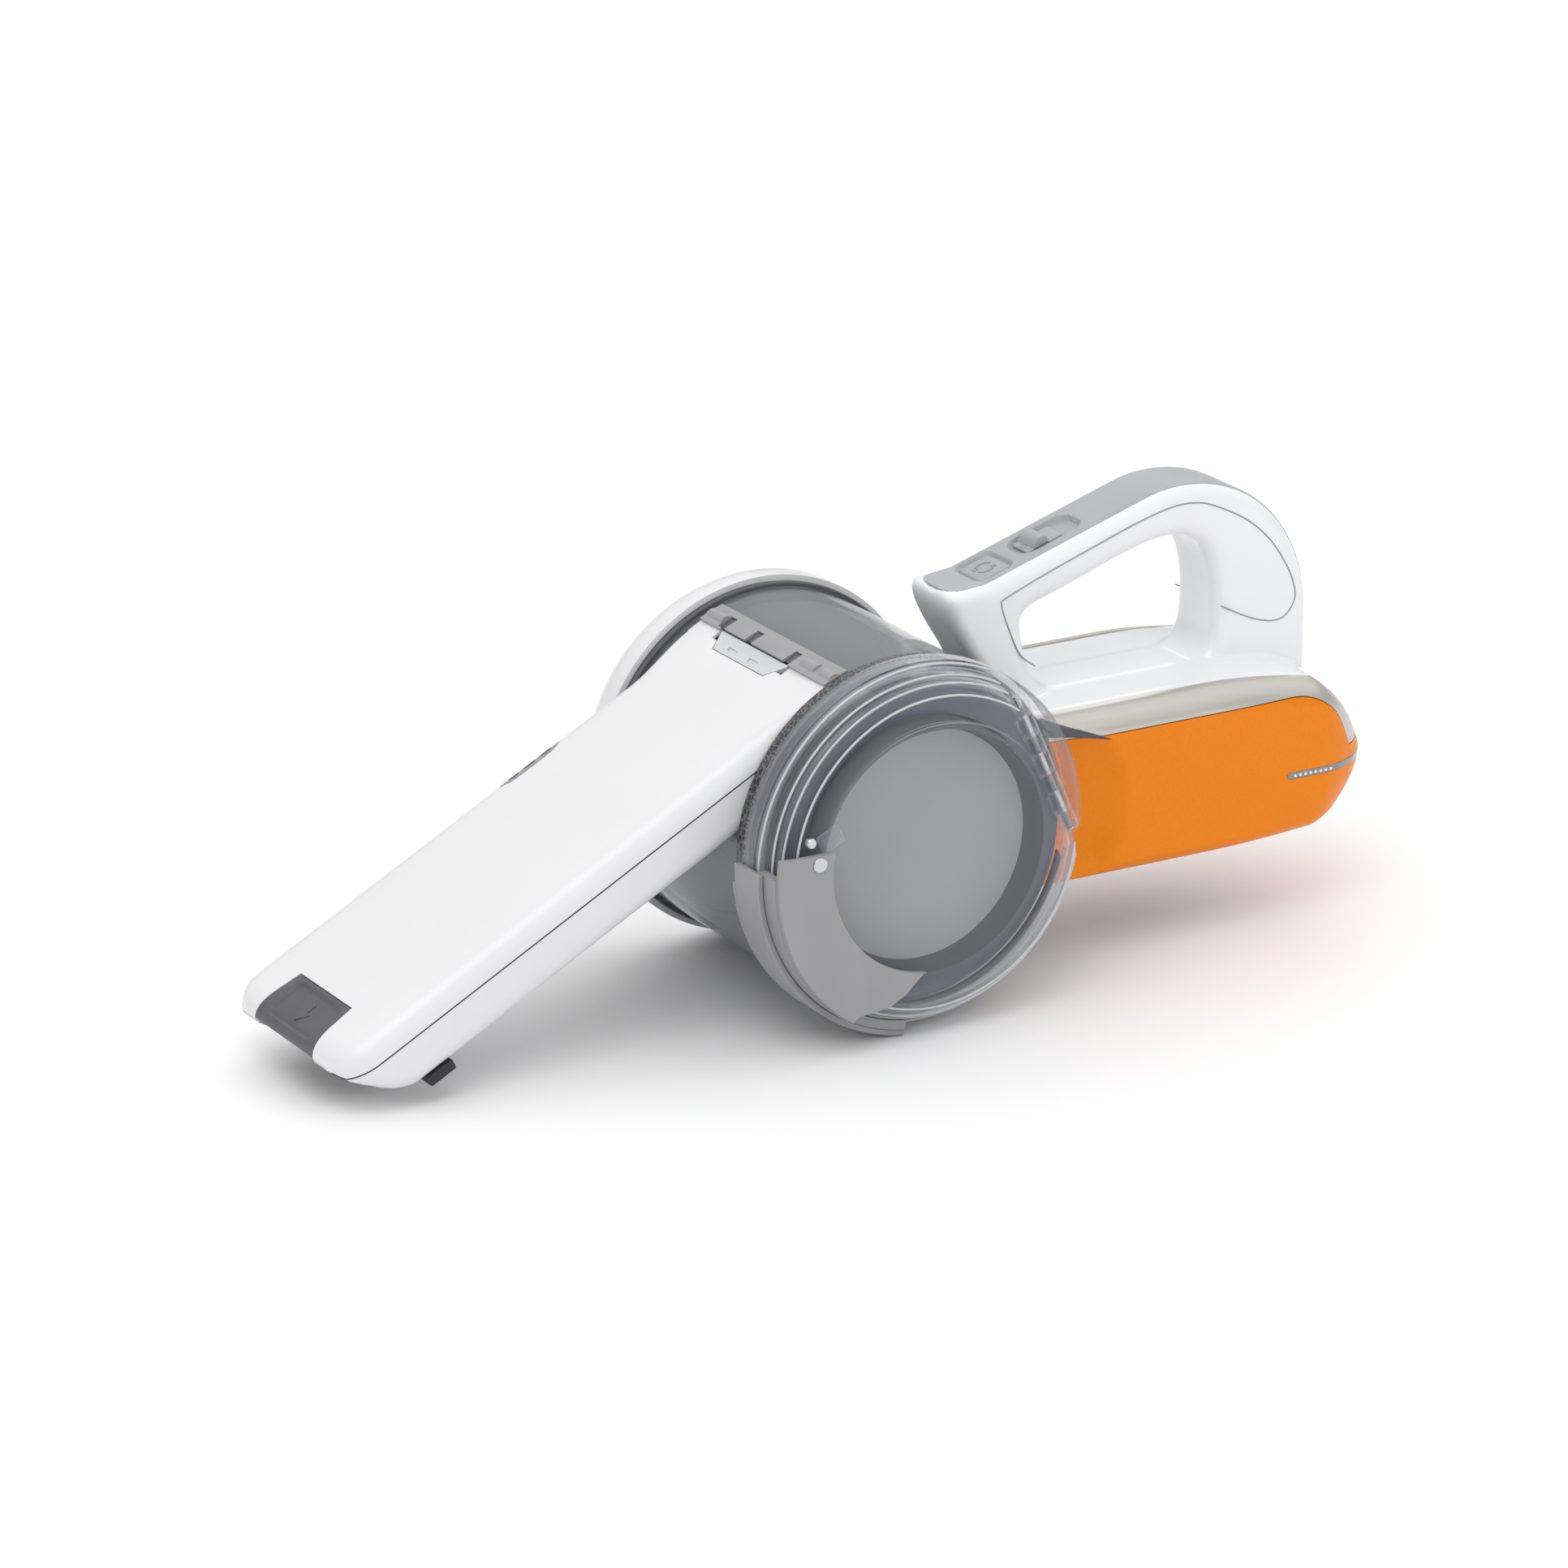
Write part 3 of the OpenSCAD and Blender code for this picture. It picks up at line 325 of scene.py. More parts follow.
def seal_blue():
    """Dark blue-grey seal with a soft sheen."""
    made = Finish("seal_blue", (0.05, 0.06, 0.085), 0.3, **{"Coat Weight": 0.4})
    made.tint(made.noise(30), (0.035, 0.043, 0.065), (0.11, 0.12, 0.145))
    return made.material


def celled_band():
    """Dark band moulded with small sunken cells."""
    made = Finish("celled_band", (0.06, 0.06, 0.065), 0.35)
    edge = made.cells(2.0, "DISTANCE_TO_EDGE")
    rib = 1 - edge.over(0.09)
    made.tint(rib, (0.022, 0.023, 0.027), (0.13, 0.13, 0.14))
    made.feed("Roughness", rib * 0.2 + 0.25)
    made.bump(rib, 0.25, 0.8)
    return made.material


def steel():
    """Turned steel with fine lines."""
    made = Finish("steel", (0.58, 0.59, 0.61), 0.26, **{"Metallic": 1.0})
    line = made.noise(0.8, 2, (1, 0.06, 1))
    made.tint(line, (0.50, 0.51, 0.53), (0.66, 0.67, 0.69))
    made.feed("Roughness", line * 0.16 + 0.16)
    return made.material


def filter_cloth():
    """Pleated paper filter with loose fibres."""
    made = Finish("filter_cloth", (0.55, 0.56, 0.57), 0.9, **{"Sheen Weight": 0.2})
    fibre = made.noise(0.7, 4, (1, 0.3, 1))
    made.tint(fibre, (0.42, 0.43, 0.44), (0.66, 0.67, 0.68))
    made.bump(fibre, 0.12, 0.6)
    return made.material


def felt():
    made = Finish("felt", (0.05, 0.05, 0.052), 0.95, **{"Sheen Weight": 0.4})
    fibre = made.noise(0.4, 4)
    made.tint(fibre, (0.03, 0.03, 0.032), (0.09, 0.09, 0.092))
    made.bump(fibre, 0.15, 0.8)
    return made.material


def circuit_green():
    """Solder mask with copper tracks showing through."""
    made = Finish("circuit_green", (0.01, 0.12, 0.04), 0.35)
    track = made.cells(3.2, "DISTANCE_TO_EDGE")
    made.tint(track.over(0.08), (0.03, 0.26, 0.09), (0.008, 0.10, 0.035))
    made.bump(track.over(0.08), 0.04, 0.5)
    return made.material


def cell_wrap():
    made = Finish("cell_wrap", (0.03, 0.22, 0.16), 0.3, **{"Coat Weight": 0.4})
    made.tint(made.noise(14), (0.02, 0.19, 0.13), (0.04, 0.26, 0.19))
    made.bump(made.noise(2.4, 3), 0.05, 0.4)
    return made.material


def strip_grey():
    """Blue-grey window over the charge lights."""
    made = Finish("strip_grey", (0.20, 0.225, 0.26), 0.2, **{"Coat Weight": 0.5})
    made.tint(made.noise(4), (0.17, 0.19, 0.225), (0.25, 0.275, 0.31))
    return made.material


def dish_grey():
    """Brushed grey floor of the filter cup, a little brighter where the light pools."""
    made = Finish("dish_grey", (0.36, 0.37, 0.385), 0.34)
    made.tint(made.noise(60, 1), (0.30, 0.31, 0.325), (0.44, 0.45, 0.465))
    made.feed("Roughness", made.noise(8) * 0.1 + 0.28)
    return made.material


def floor_white():
    made = Finish("floor_white", (0.93, 0.93, 0.935), 0.75)
    made.tint(made.noise(400, 1), (0.925, 0.925, 0.93), (0.94, 0.94, 0.945))
    return made.material


FINISHES = {
    "white_plastic": white_plastic, "gloss_white": gloss_white, "pale_grey_plastic": soft_grey,
    "orange_plastic": orange_paint, "champagne_trim": champagne, "smoke_clear": smoke_clear,
    "clear_plastic": lid_clear, "frosted_clear": frosted_clear, "mid_grey_plastic": mid_grey,
    "dark_grey_plastic": dark_grey, "rubber": black_rubber, "celled_band": celled_band,
    "seal_blue": seal_blue,
    "felt": felt, "filter_cloth": filter_cloth, "steel": steel, "fan_plastic": mid_grey,
    "cell_wrap": cell_wrap, "circuit_green": circuit_green, "indicator_grey": strip_grey,
    "dish_grey": dish_grey, "floor_white": floor_white,
}
MADE = {}


def finish_of(name):
    """The material of this name, made the first time it is asked for."""
    if name not in MADE:
        MADE[name] = FINISHES[name]()
    return MADE[name]


# ---- Mesh helpers ------------------------------------------------------------


def evaluated(holder):
    """The finished mesh of an object with its modifiers, and the object removed."""
    graph = bpy.context.evaluated_depsgraph_get()
    mesh = bpy.data.meshes.new_from_object(holder.evaluated_get(graph))
    data = holder.data
    bpy.data.objects.remove(holder)
    if data.users == 0 and isinstance(data, bpy.types.Curve):
        bpy.data.curves.remove(data)
    return mesh


def holder_of(name, data):
    made = bpy.data.objects.new(name, data)
    bpy.context.scene.collection.objects.link(made)
    return made


def mesh_of(bm):
    mesh = bpy.data.meshes.new("part")
    bm.to_mesh(mesh)
    bm.free()
    return mesh


def piece(name, mesh, finishes, body, place=PLACE, stands_for=(), smooth=35, bevel=0.0,
          thick=0.0):
    """Names, places, finishes and mounts one piece. Its mesh comes in millimetres."""
    mesh.transform(place)
    finishes = [finishes] if isinstance(finishes, str) else finishes
    chosen = [face.material_index for face in mesh.polygons]
    mesh.materials.clear()
    for finish in finishes:
        mesh.materials.append(finish_of(finish))
    mesh.polygons.foreach_set("material_index", [min(i, len(finishes) - 1) for i in chosen])
    mesh.shade_smooth()
    mesh.set_sharp_from_angle(angle=math.radians(smooth))
    made = holder_of(name, mesh)
    if thick:
        wall = made.modifiers.new("wall", "SOLIDIFY")
        wall.thickness, wall.offset = thick * MM, -1
        wall.use_even_offset = True
    if bevel:
        edge = made.modifiers.new("edge", "BEVEL")
        edge.width, edge.segments, edge.limit_method = bevel * MM, 2, "ANGLE"
        edge.angle_limit = math.radians(40)
        edge.use_clamp_overlap = True
    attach(made, body)
    if stands_for:
        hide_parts(*stands_for)
    return made


def grid(rows, closed=False, flip=False):
    """Quads over rows of points; closed joins the last column to the first."""
    bm = bmesh.new()
    made = [[bm.verts.new(point) for point in row] for row in rows]
    width = len(rows[0])
    for low, high in zip(made, made[1:]):
        for i in range(width if closed else width - 1):
            j = (i + 1) % width
            face = [low[i], low[j], high[j], high[i]]
            bm.faces.new(reversed(face) if flip else face)
    return bm


def lathe(profile, steps=144, materials=None):
    """Turns (radius, y) points round the drum's axis, from front to back along the outside."""
    rows = []
    for radius, y in profile:
        ring = [(radius * math.cos(a), y, radius * math.sin(a))
                for a in (2 * math.pi * i / steps for i in range(steps))]
        rows.append(ring)
    bm = grid(rows, closed=True)
    for index, face in enumerate(bm.faces):
        if materials:
            face.material_index = materials[index // steps]
    bmesh.ops.remove_doubles(bm, verts=bm.verts, dist=1e-4)
    bmesh.ops.recalc_face_normals(bm, faces=bm.faces)
    return bm


def slab(low, high, edge=0.6, steps=3):
    """A block with rounded edges."""
    bm = bmesh.new()
    bmesh.ops.create_cube(bm, size=1)
    for vert in bm.verts:
        vert.co = Vector(low[k] if vert.co[k] < 0 else high[k] for k in range(3))
    bmesh.ops.bevel(bm, geom=bm.edges[:], offset=edge, segments=steps, profile=0.5,
                    affect="EDGES", clamp_overlap=True)
    bmesh.ops.recalc_face_normals(bm, faces=bm.faces)
    return bm


def copied(node):
    """The shape of a CAD node in metres, with its loose triangles joined."""
    bm = bmesh.new()
    bm.from_mesh(frame["nodes"][node].data)
    bmesh.ops.remove_doubles(bm, verts=bm.verts, dist=2e-6)
    bmesh.ops.dissolve_limit(bm, angle_limit=math.radians(0.4), verts=bm.verts, edges=bm.edges)
    return bm


def refined(node, finish, body, bevel=0.3, smooth=35):
    """A CAD node drawn again with joined, softened edges."""
    return piece(node + "_finished", mesh_of(copied(node)), finish, body,
                 Matrix.Identity(4), (node,), smooth, bevel)


def outward(mesh):
    """Turns the faces of one closed surface outwards."""
    bm = bmesh.new()
    bm.from_mesh(mesh)
    bmesh.ops.recalc_face_normals(bm, faces=bm.faces)
    bm.to_mesh(mesh)
    bm.free()
    return mesh


def cut(mesh, *cutters):
    """The mesh less each cutter, all in millimetres."""
    holder = holder_of("cut", mesh)
    tools = []
    for cutter in cutters:
        tool = holder_of("cutter", mesh_of(cutter))
        change = holder.modifiers.new("cut", "BOOLEAN")
        change.object, change.operation, change.solver = tool, "DIFFERENCE", "EXACT"
        change.use_self = True
        tools.append(tool)
    result = evaluated(holder)
    for tool in tools:
        bpy.data.objects.remove(tool)
    return result


def prism(outline, low, high, upright=True):
    """A closed prism: along Z over an (x, y) outline, or along Y over an (x, z) one."""
    bm = bmesh.new()
    base = [bm.verts.new((p[0], p[1], low) if upright else (p[0], low, p[1])) for p in outline]
    face = bm.faces.new(base)
    made = bmesh.ops.extrude_face_region(bm, geom=[face])["geom"]
    shift = Vector((0, 0, high - low)) if upright else Vector((0, high - low, 0))
    bmesh.ops.translate(bm, verts=[v for v in made if isinstance(v, bmesh.types.BMVert)],
                        vec=shift)
    bmesh.ops.recalc_face_normals(bm, faces=bm.faces)
    return bm


def joined(*parts):
    """One bmesh from several."""
    bm = bmesh.new()
    for part in parts:
        mesh = mesh_of(part)
        bm.from_mesh(mesh)
        bpy.data.meshes.remove(mesh)
    return bm


def plate_of(outlines, depth, edge, round_steps=4, fill="BOTH"):
    """A plate over closed (x, z) outlines, later ones cut holes; edges are rounded by edge."""
    curve = bpy.data.curves.new("outline", "CURVE")
    curve.dimensions, curve.fill_mode = "2D", fill
    curve.extrude, curve.bevel_depth = max(0, depth / 2 - edge), edge
    curve.bevel_resolution, curve.offset = round_steps, -edge
    for k, outline in enumerate(outlines):
        spline = curve.splines.new("POLY")
        spline.points.add(len(outline) - 1)
        for point, (x, y) in zip(spline.points, outline if k == 0 else outline[::-1]):
            point.co = (x, y, 0, 1)
        spline.use_cyclic_u = True
    mesh = evaluated(holder_of("outline", curve))
    bm = bmesh.new()
    bm.from_mesh(mesh)
    bmesh.ops.remove_doubles(bm, verts=bm.verts, dist=1e-4)
    bmesh.ops.recalc_face_normals(bm, faces=bm.faces)
    return bm


def wire(points, radius, closed=False, sides=6):
    """A round wire through points."""
    curve = bpy.data.curves.new("wire", "CURVE")
    curve.dimensions, curve.bevel_depth, curve.bevel_resolution = "3D", radius, sides // 4
    curve.use_fill_caps = not closed
    spline = curve.splines.new("POLY")
    spline.points.add(len(points) - 1)
    for point, place in zip(spline.points, points):
        point.co = (*place, 1)
    spline.use_cyclic_u = closed
    return evaluated(holder_of("wire", curve))


def round_outline(x0, y0, x1, y1, radius, steps=6):
    """Outline of a rectangle with round corners."""
    points = []
    for cx, cy, start in ((x1 - radius, y1 - radius, 0), (x0 + radius, y1 - radius, 90),
                          (x0 + radius, y0 + radius, 180), (x1 - radius, y0 + radius, 270)):
        for i in range(steps + 1):
            a = math.radians(start + 90 * i / steps)
            points.append((cx + radius * math.cos(a), cy + radius * math.sin(a)))
    return points


def bezier(points, steps, inset=0.0):
    """Points along a cubic, moved to the right of its direction."""
    made = []
    a, b, c, d = (Vector(p) for p in points)
    for i in range(steps + 1):
        t = i / steps
        place = a * (1 - t) ** 3 + b * 3 * t * (1 - t) ** 2 + c * 3 * t * t * (1 - t) + d * t ** 3
        way = ((b - a) * (1 - t) ** 2 + (c - b) * 2 * t * (1 - t) + (d - c) * t * t).normalized()
        made.append(place + inset * Vector((way.y, -way.x)))
    return made


def through(points, steps):
    """Smooth path through points."""
    made = []
    for i in range(len(points) - 1):
        a, b = points[max(i - 1, 0)], points[i]
        c, d = points[i + 1], points[min(i + 2, len(points) - 1)]
        for k in range(steps):
            t = k / steps
            made.append(0.5 * (2 * b + (c - a) * t + (2 * a - 5 * b + 4 * c - d) * t * t
                               + (3 * b - a - 3 * c + d) * t ** 3))
    return made + [points[-1]]


# ---- Geometry Nodes: one tree repeats a small form along a line or round the drum's axis --------

REPEAT = {}


def repeat_tree(form):
    """A tree that sets copies of a block, peg or dome in a row or a ring."""
    if form in REPEAT:
        return REPEAT[form]
    tree = bpy.data.node_groups.new("repeat_" + form, "GeometryNodeTree")
    sockets = {"Count": "NodeSocketInt", "Step": "NodeSocketVector", "Turn": "NodeSocketFloat",
               "Start": "NodeSocketVector", "Size": "NodeSocketVector",
               "Tilt": "NodeSocketVector", "Finish": "NodeSocketMaterial"}
    for name, kind in sockets.items():
        tree.interface.new_socket(name, in_out="INPUT", socket_type=kind)
    tree.interface.new_socket("Geometry", in_out="OUTPUT", socket_type="NodeSocketGeometry")
    graph = Graph(tree)
    given = graph.node("NodeGroupInput").outputs
    line = graph.node("GeometryNodeMeshLine", {"mode": "OFFSET"},
                      {"Count": given["Count"], "Start Location": (0, 0, 0),
                       "Offset": given["Step"]})
    if form == "block":
        shape = graph.node("GeometryNodeMeshCube", None, {"Size": (1, 1, 1)})
    elif form == "peg":
        shape = graph.node("GeometryNodeMeshCylinder", None,
                           {"Vertices": 20, "Radius": 0.5, "Depth": 1.0})
    else:
        shape = graph.node("GeometryNodeMeshIcoSphere", None, {"Radius": 0.5, "Subdivisions": 3})
    sized = graph.node("GeometryNodeTransform", None,
                       {"Geometry": shape.outputs[0], "Translation": given["Start"],
                        "Rotation": given["Tilt"], "Scale": given["Size"]})
    index = graph.number("GeometryNodeInputIndex")
    turn = index * Value(graph, given["Turn"])
    spin = graph.node("ShaderNodeCombineXYZ", None, {"Y": turn})
    copies = graph.node("GeometryNodeInstanceOnPoints", None,
                        {"Points": line.outputs[0], "Instance": sized.outputs[0],
                         "Rotation": spin.outputs[0]})
    real = graph.node("GeometryNodeRealizeInstances", None, {0: copies.outputs[0]})
    painted = graph.node("GeometryNodeSetMaterial", None,
                         {"Geometry": real.outputs[0], "Material": given["Finish"]})
    graph.node("NodeGroupOutput", None, {0: painted.outputs[0]})
    REPEAT[form] = tree
    return tree


def repeated(form, count, size, start=(0, 0, 0), step=(0, 0, 0), turn=0.0, tilt=(0, 0, 0),
             finish="mid_grey_plastic"):
    """Mesh of the repeated form in millimetres."""
    holder = holder_of("repeat", bpy.data.meshes.new("seed"))
    change = holder.modifiers.new("repeat", "NODES")
    change.node_group = repeat_tree(form)
    wanted = {"Count": count, "Step": step, "Turn": turn, "Start": start, "Size": size,
              "Tilt": tilt, "Finish": finish_of(finish)}
    for item in change.node_group.interface.items_tree:
        if item.in_out == "INPUT":
            change[item.identifier] = wanted[item.name]
    return evaluated(holder)


# ---- Body surface: a column round the plan, a profile up the side -------------------------------


def top_height(x):
    """Height of the deck's middle line."""
    if x <= DECK_END:
        return DECK
    return DECK - TOP_R + math.sqrt(max(0, TOP_R ** 2 - (x - DECK_END) ** 2))


def edge_height(x):
    """Height of the coloured cover's top edge."""
    start, radius = TAIL - 43, EDGE - TAIL_MID
    if x <= start:
        return EDGE
    if x >= start + radius - 0.5:
        return TAIL_MID + 4
    return max(TAIL_MID + 4, TAIL_MID + math.sqrt(radius ** 2 - (x - start) ** 2))


def side_profile(v, low_round=5.0):
    """(inset, height) up the side: 0 at the belly, 1 at the deck."""
    if v < 0.2:
        a = math.pi / 2 * (v / 0.2)
        return low_round * (1 - math.sin(a)), BELLY + low_round * (1 - math.cos(a))
    if v < 0.7:
        return 0.0, BELLY + low_round + (EDGE - BELLY - low_round) * (v - 0.2) / 0.5
    a = math.pi / 2 * (v - 0.7) / 0.3
    return TRIM * (1 - math.cos(a)), EDGE + (DECK - EDGE) * math.sin(a)


def tail_profile(v):
    """(inset, height) up the middle of the tail."""
    if v < 0.45:
        a = math.pi / 2 * (v / 0.45)
        return LOW_R * (1 - math.sin(a)), TAIL_MID - LOW_R * math.cos(a)
    start = math.asin((TAIL_MID - DECK + TOP_R) / TOP_R)
    end = math.acos((TAIL - TRIM - DECK_END) / TOP_R)
    a = start + (end - start) * (v - 0.45) / 0.55
    return TAIL - DECK_END - TOP_R * math.cos(a), DECK - TOP_R + TOP_R * math.sin(a)


def body_point(t, v, inset=0.0):
    """Point on the left half of the body: t runs 0 to 1 down the side, 1 to 2 round the corner,
    2 to 3 across the tail to its middle."""
    side, tail = side_profile(v), tail_profile(v)
    share = min(1.0, max(0.0, (t - 0.6) / 1.2))
    share = share * share * (3 - 2 * share)
    drawn = side[0] * (1 - share) + tail[0] * share + inset
    height = side[1] * (1 - share) + tail[1] * share
    if height < BELLY + inset:
        height = BELLY + inset
    if t <= 1:
        front = math.sqrt(max(0, FRONT_R ** 2 - height ** 2))
        x = front + (TAIL - CORNER - front) * t
        return Vector((x, -HALF + drawn, height))
    if t <= 2:
        a = math.pi / 2 * (t - 1)
        r = CORNER - min(drawn, CORNER - 0.5)
        extra = drawn - (CORNER - r)
        x = TAIL - CORNER + r * math.sin(a) - extra * math.sin(a)
        return Vector((x, -HALF + CORNER - r * math.cos(a) + extra * math.cos(a), height))
    y = (-HALF + CORNER) * (3 - t)
    return Vector((TAIL - drawn, y, height))


SCOOP_DEPTH = 8.0
SCOOP_R = (34.0 ** 2 + SCOOP_DEPTH ** 2) / (2 * SCOOP_DEPTH)
SCOOP = Vector((64.0, -(HALF + SCOOP_R - SCOOP_DEPTH), -7.0))


def scooped(point, inset=0.0):
    """The point pushed in onto the finger scoop where the scoop takes it away."""
    reach = (SCOOP_R + inset) ** 2 - (point.x - SCOOP.x) ** 2 - (point.z - SCOOP.z) ** 2
    if reach > 0 and point.x < 130:
        point.y = max(point.y, SCOOP.y + math.sqrt(reach))
    return point


COLUMNS = ([i / 54 for i in range(54)] + [1 + i / 18 for i in range(18)]
           + [2 + i / 10 for i in range(11)])


def split_at(t, wanted):
    """The v where the profile at t first reaches the height wanted there."""
    low, high = 0.02, 1.0
    for _ in range(26):
        middle = (low + high) / 2
        place = body_point(t, middle)
        if place.z < wanted(place.x):
            low = middle
        else:
            high = middle
    return low


def body_patch(bottom, top, rows, inset=0.0, scoop=False, belly_lip=0.0):
    """Surface of the left half between two v limits, each a function of t."""
    made = []
    if belly_lip:
        for share in (0.0, 0.5):
            row = []
            for t in COLUMNS:
                place = body_point(t, bottom(t), inset)
                centre = Vector((min(place.x, TAIL - 40), 0, place.z))
                way = centre - place
                way.x = 0 if t <= 1 else way.x
                row.append(place + way.normalized() * min(way.length, belly_lip) * (1 - share))
            made.append(row)
    for i in range(rows + 1):
        row = []
        for t in COLUMNS:
            low, high = bottom(t), top(t)
            place = body_point(t, low + (high - low) * i / rows, inset)
            row.append(scooped(place, inset) if scoop else place)
        made.append(row)
    return made


def mirrored(rows):
    return [[Vector((p.x, -p.y, p.z)) for p in row] for row in rows]


def body_piece(name, rows, right, finish, stands_for, thick, cutters=()):
    """A shell piece over rows of points of the left half, mirrored for the right one."""
    if right:
        rows = mirrored(rows)
    bm = grid(rows, flip=right)
    bmesh.ops.remove_doubles(bm, verts=bm.verts, dist=0.01)
    mesh = mesh_of(bm)
    holder = holder_of(name, mesh)
    wall = holder.modifiers.new("wall", "SOLIDIFY")
    wall.thickness, wall.offset, wall.use_even_offset = thick, -1, False
    mesh = evaluated(holder)
    if cutters:
        mesh = cut(mesh, *cutters)
    return piece(name, mesh, finish, "body", stands_for=stands_for, bevel=0.3, smooth=40)


# ---- Properties ------------------------------------------------------------


class VacuumSizes(bpy.types.PropertyGroup):
    """Sizes a user would change."""

    handle_round: bpy.props.FloatProperty(
        name="Handle Rounding", description="Radius of the handle's long edges, in millimetres",
        default=5.5, min=1, max=8)
    blend: bpy.props.IntProperty(
        name="Blend", description="Smoothing passes where the handle runs into the deck",
        default=6, min=0, max=20)
    shell: bpy.props.FloatProperty(
        name="Shell Thickness", description="Wall of the coloured covers, in millimetres",
        default=2.3, min=1, max=3)
    screen_ribs: bpy.props.IntProperty(
        name="Screen Ribs", description="Ribs round the pre-filter screen", default=60, min=8)


class StageSizes(bpy.types.PropertyGroup):
    """Camera and lights."""

    lens: bpy.props.FloatProperty(
        name="Lens", description="Focal length of the camera, in millimetres", default=164.05)
    key: bpy.props.FloatProperty(
        name="Key Light", description="Power of the large overhead light", default=6.0,
        unit="POWER")
    surround: bpy.props.FloatProperty(
        name="Surround", description="Strength of the white surround", default=1.12)


# ---- Operators ------------------------------------------------------------


def operator(name, label):
    """Gives an operator class its id, label and undo option."""
    def dress(cls):
        cls.bl_idname, cls.bl_label, cls.bl_options = "vacuum." + name, label, {"UNDO"}
        return cls
    return dress


@operator("nozzle", "Nozzle")
class VACUUM_OT_nozzle(bpy.types.Operator):
    """White nozzle shells, their parting line, the pull, the feet and the side inlay"""

    @staticmethod
    def half_width(x):
        tip = -NOZZLE_REACH + 14
        if x >= tip:
            return NOZZLE_HALF
        return NOZZLE_HALF - 14 + math.sqrt(max(0, 196 - (x - tip) ** 2))

    @staticmethod
    def heights(x):
        """Underside and top of the nozzle at x."""
        tip = -NOZZLE_REACH
        nose = NOZZLE_TOP - 6.0
        rise = min(1.0, (x - tip) / 12)
        top = nose + 6.0 * math.sqrt(max(0, 1 - (1 - rise) ** 2.6))
        fall = min(1.0, (x - tip) / 23)
        low = nose - (nose - NOZZLE_LOW) * (1 - (1 - fall) ** 1.7)
        return low, top

    def section(self, x, steps, whole=False):
        """Round the section from the left parting over the top, or under it, to the right."""
        w = self.half_width(x)
        low, top = self.heights(x)
        seam = self.seam(x, low, top)
        points = []
        r = min(11.0, (top - seam) * 0.98, w * 0.5)
        q = min(7.0, (seam - low) * 0.9, w * 0.5)
        over = [(-w, seam), (-w, top - r)]
        over += [(-w + r - r * math.cos(a), top - r + r * math.sin(a))
                 for a in (math.pi / 2 * i / 8 for i in range(1, 9))]
        under = [(-w, seam), (-w, low + q)]
        under += [(-w + q - q * math.cos(a), low + q - q * math.sin(a))
                  for a in (math.pi / 2 * i / 8 for i in range(1, 9))]
        for half in (over, under):
            across = [(half[-1][0] * (1 - i / steps * 2), half[-1][1]) for i in range(1, steps)]
            row = half + across + [(-y, z) for y, z in reversed(half)]
            points.append([Vector((x, y, z)) for y, z in row])
        return points

    @staticmethod
    def seam(x, low, top):
        """Height of the parting line: along the side, then up beside the drum."""
        rise = min(1.0, max(0.0, (x + 34) / 30))
        seam = NOZZLE_TOP - PARTING + 8.2 * rise * rise * (3 - 2 * rise)
        return min(max(seam, low + 0.4), top - 0.4)

    def execute(self, context):
        stations = [-NOZZLE_REACH + 0.15 + 30 * (i / 30) ** 2 for i in range(31)]
        stations += [-NOZZLE_REACH + 30.15 + (NOZZLE_REACH - 32.0) * i / 70 for i in range(1, 71)]
        rows = [self.section(x, 14) for x in stations]
        pull = [(-220, -22.5), (-NOZZLE_REACH + 21.4, -19), (-NOZZLE_REACH + 21.4, 19),
                (-220, 22.5)]
        tab = [(-5.8, -11.9), (-5.8, 22.9), (3.0, 28.9), (3.0, -17.9)]
        window = [[(3.6, y - 2.6), (8.2, y - 2.6), (8.2, y + 2.6), (3.6, y + 2.6)]
                  for y in (-15.4, 10.6, 29)]
        for part, name, node in ((0, "nozzle_top", "nozzle_top_shell"),
                                 (1, "nozzle_under", "nozzle_bottom_shell")):
            bm = grid([row[part] for row in rows], flip=part == 0)
            bmesh.ops.remove_doubles(bm, verts=bm.verts, dist=0.05)
            holder = holder_of(name, mesh_of(bm))
            wall = holder.modifiers.new("wall", "SOLIDIFY")
            wall.thickness, wall.offset = 1.8, -1
            mesh = outward(evaluated(holder))
            if part == 0:
                mesh = cut(mesh, prism(pull, NOZZLE_TOP - 8, 70),
                           prism(tab, NOZZLE_TOP - 4, 70))
            else:
                drum = bmesh.new()
                bmesh.ops.create_cone(drum, cap_ends=True, segments=128, radius1=62.2,
                                      radius2=62.2, depth=120, matrix=ON_SIDE)
                tube = slab((-NOZZLE_REACH - 5, -20.6, NOZZLE_LOW + 1.9),
                            (-NOZZLE_REACH + 32, 20.6, NOZZLE_TOP - 3), 1.0, 2)
                mesh = cut(mesh, drum, tube)
            piece(name, mesh, "white_plastic", "drum", NOZZLE, (node,),
                  bevel=0.25)
        lips = [slab((-4, -NOZZLE_HALF, NOZZLE_TOP - 1.6), (3.2, -18.2, NOZZLE_TOP - 0.02), 0.4),
                slab((-4, 29.2, NOZZLE_TOP - 1.6), (3.2, NOZZLE_HALF, NOZZLE_TOP - 0.02), 0.4)]
        piece("nozzle_lips", mesh_of(joined(*lips)), "white_plastic", "drum",
              NOZZLE)
        groove = []
        for side in (-1, 1):
            line = []
            for x in stations[4:]:
                low, top = self.heights(x)
                line.append((x, side * (self.half_width(x) - 0.1), self.seam(x, low, top)))
            groove.append(wire(line, 0.3))
        bm = bmesh.new()
        for mesh in groove:
            bm.from_mesh(mesh)
        piece("nozzle_seam", mesh_of(bm), "rubber", "drum", NOZZLE)
        self.dressing(window)
        return {"FINISHED"}

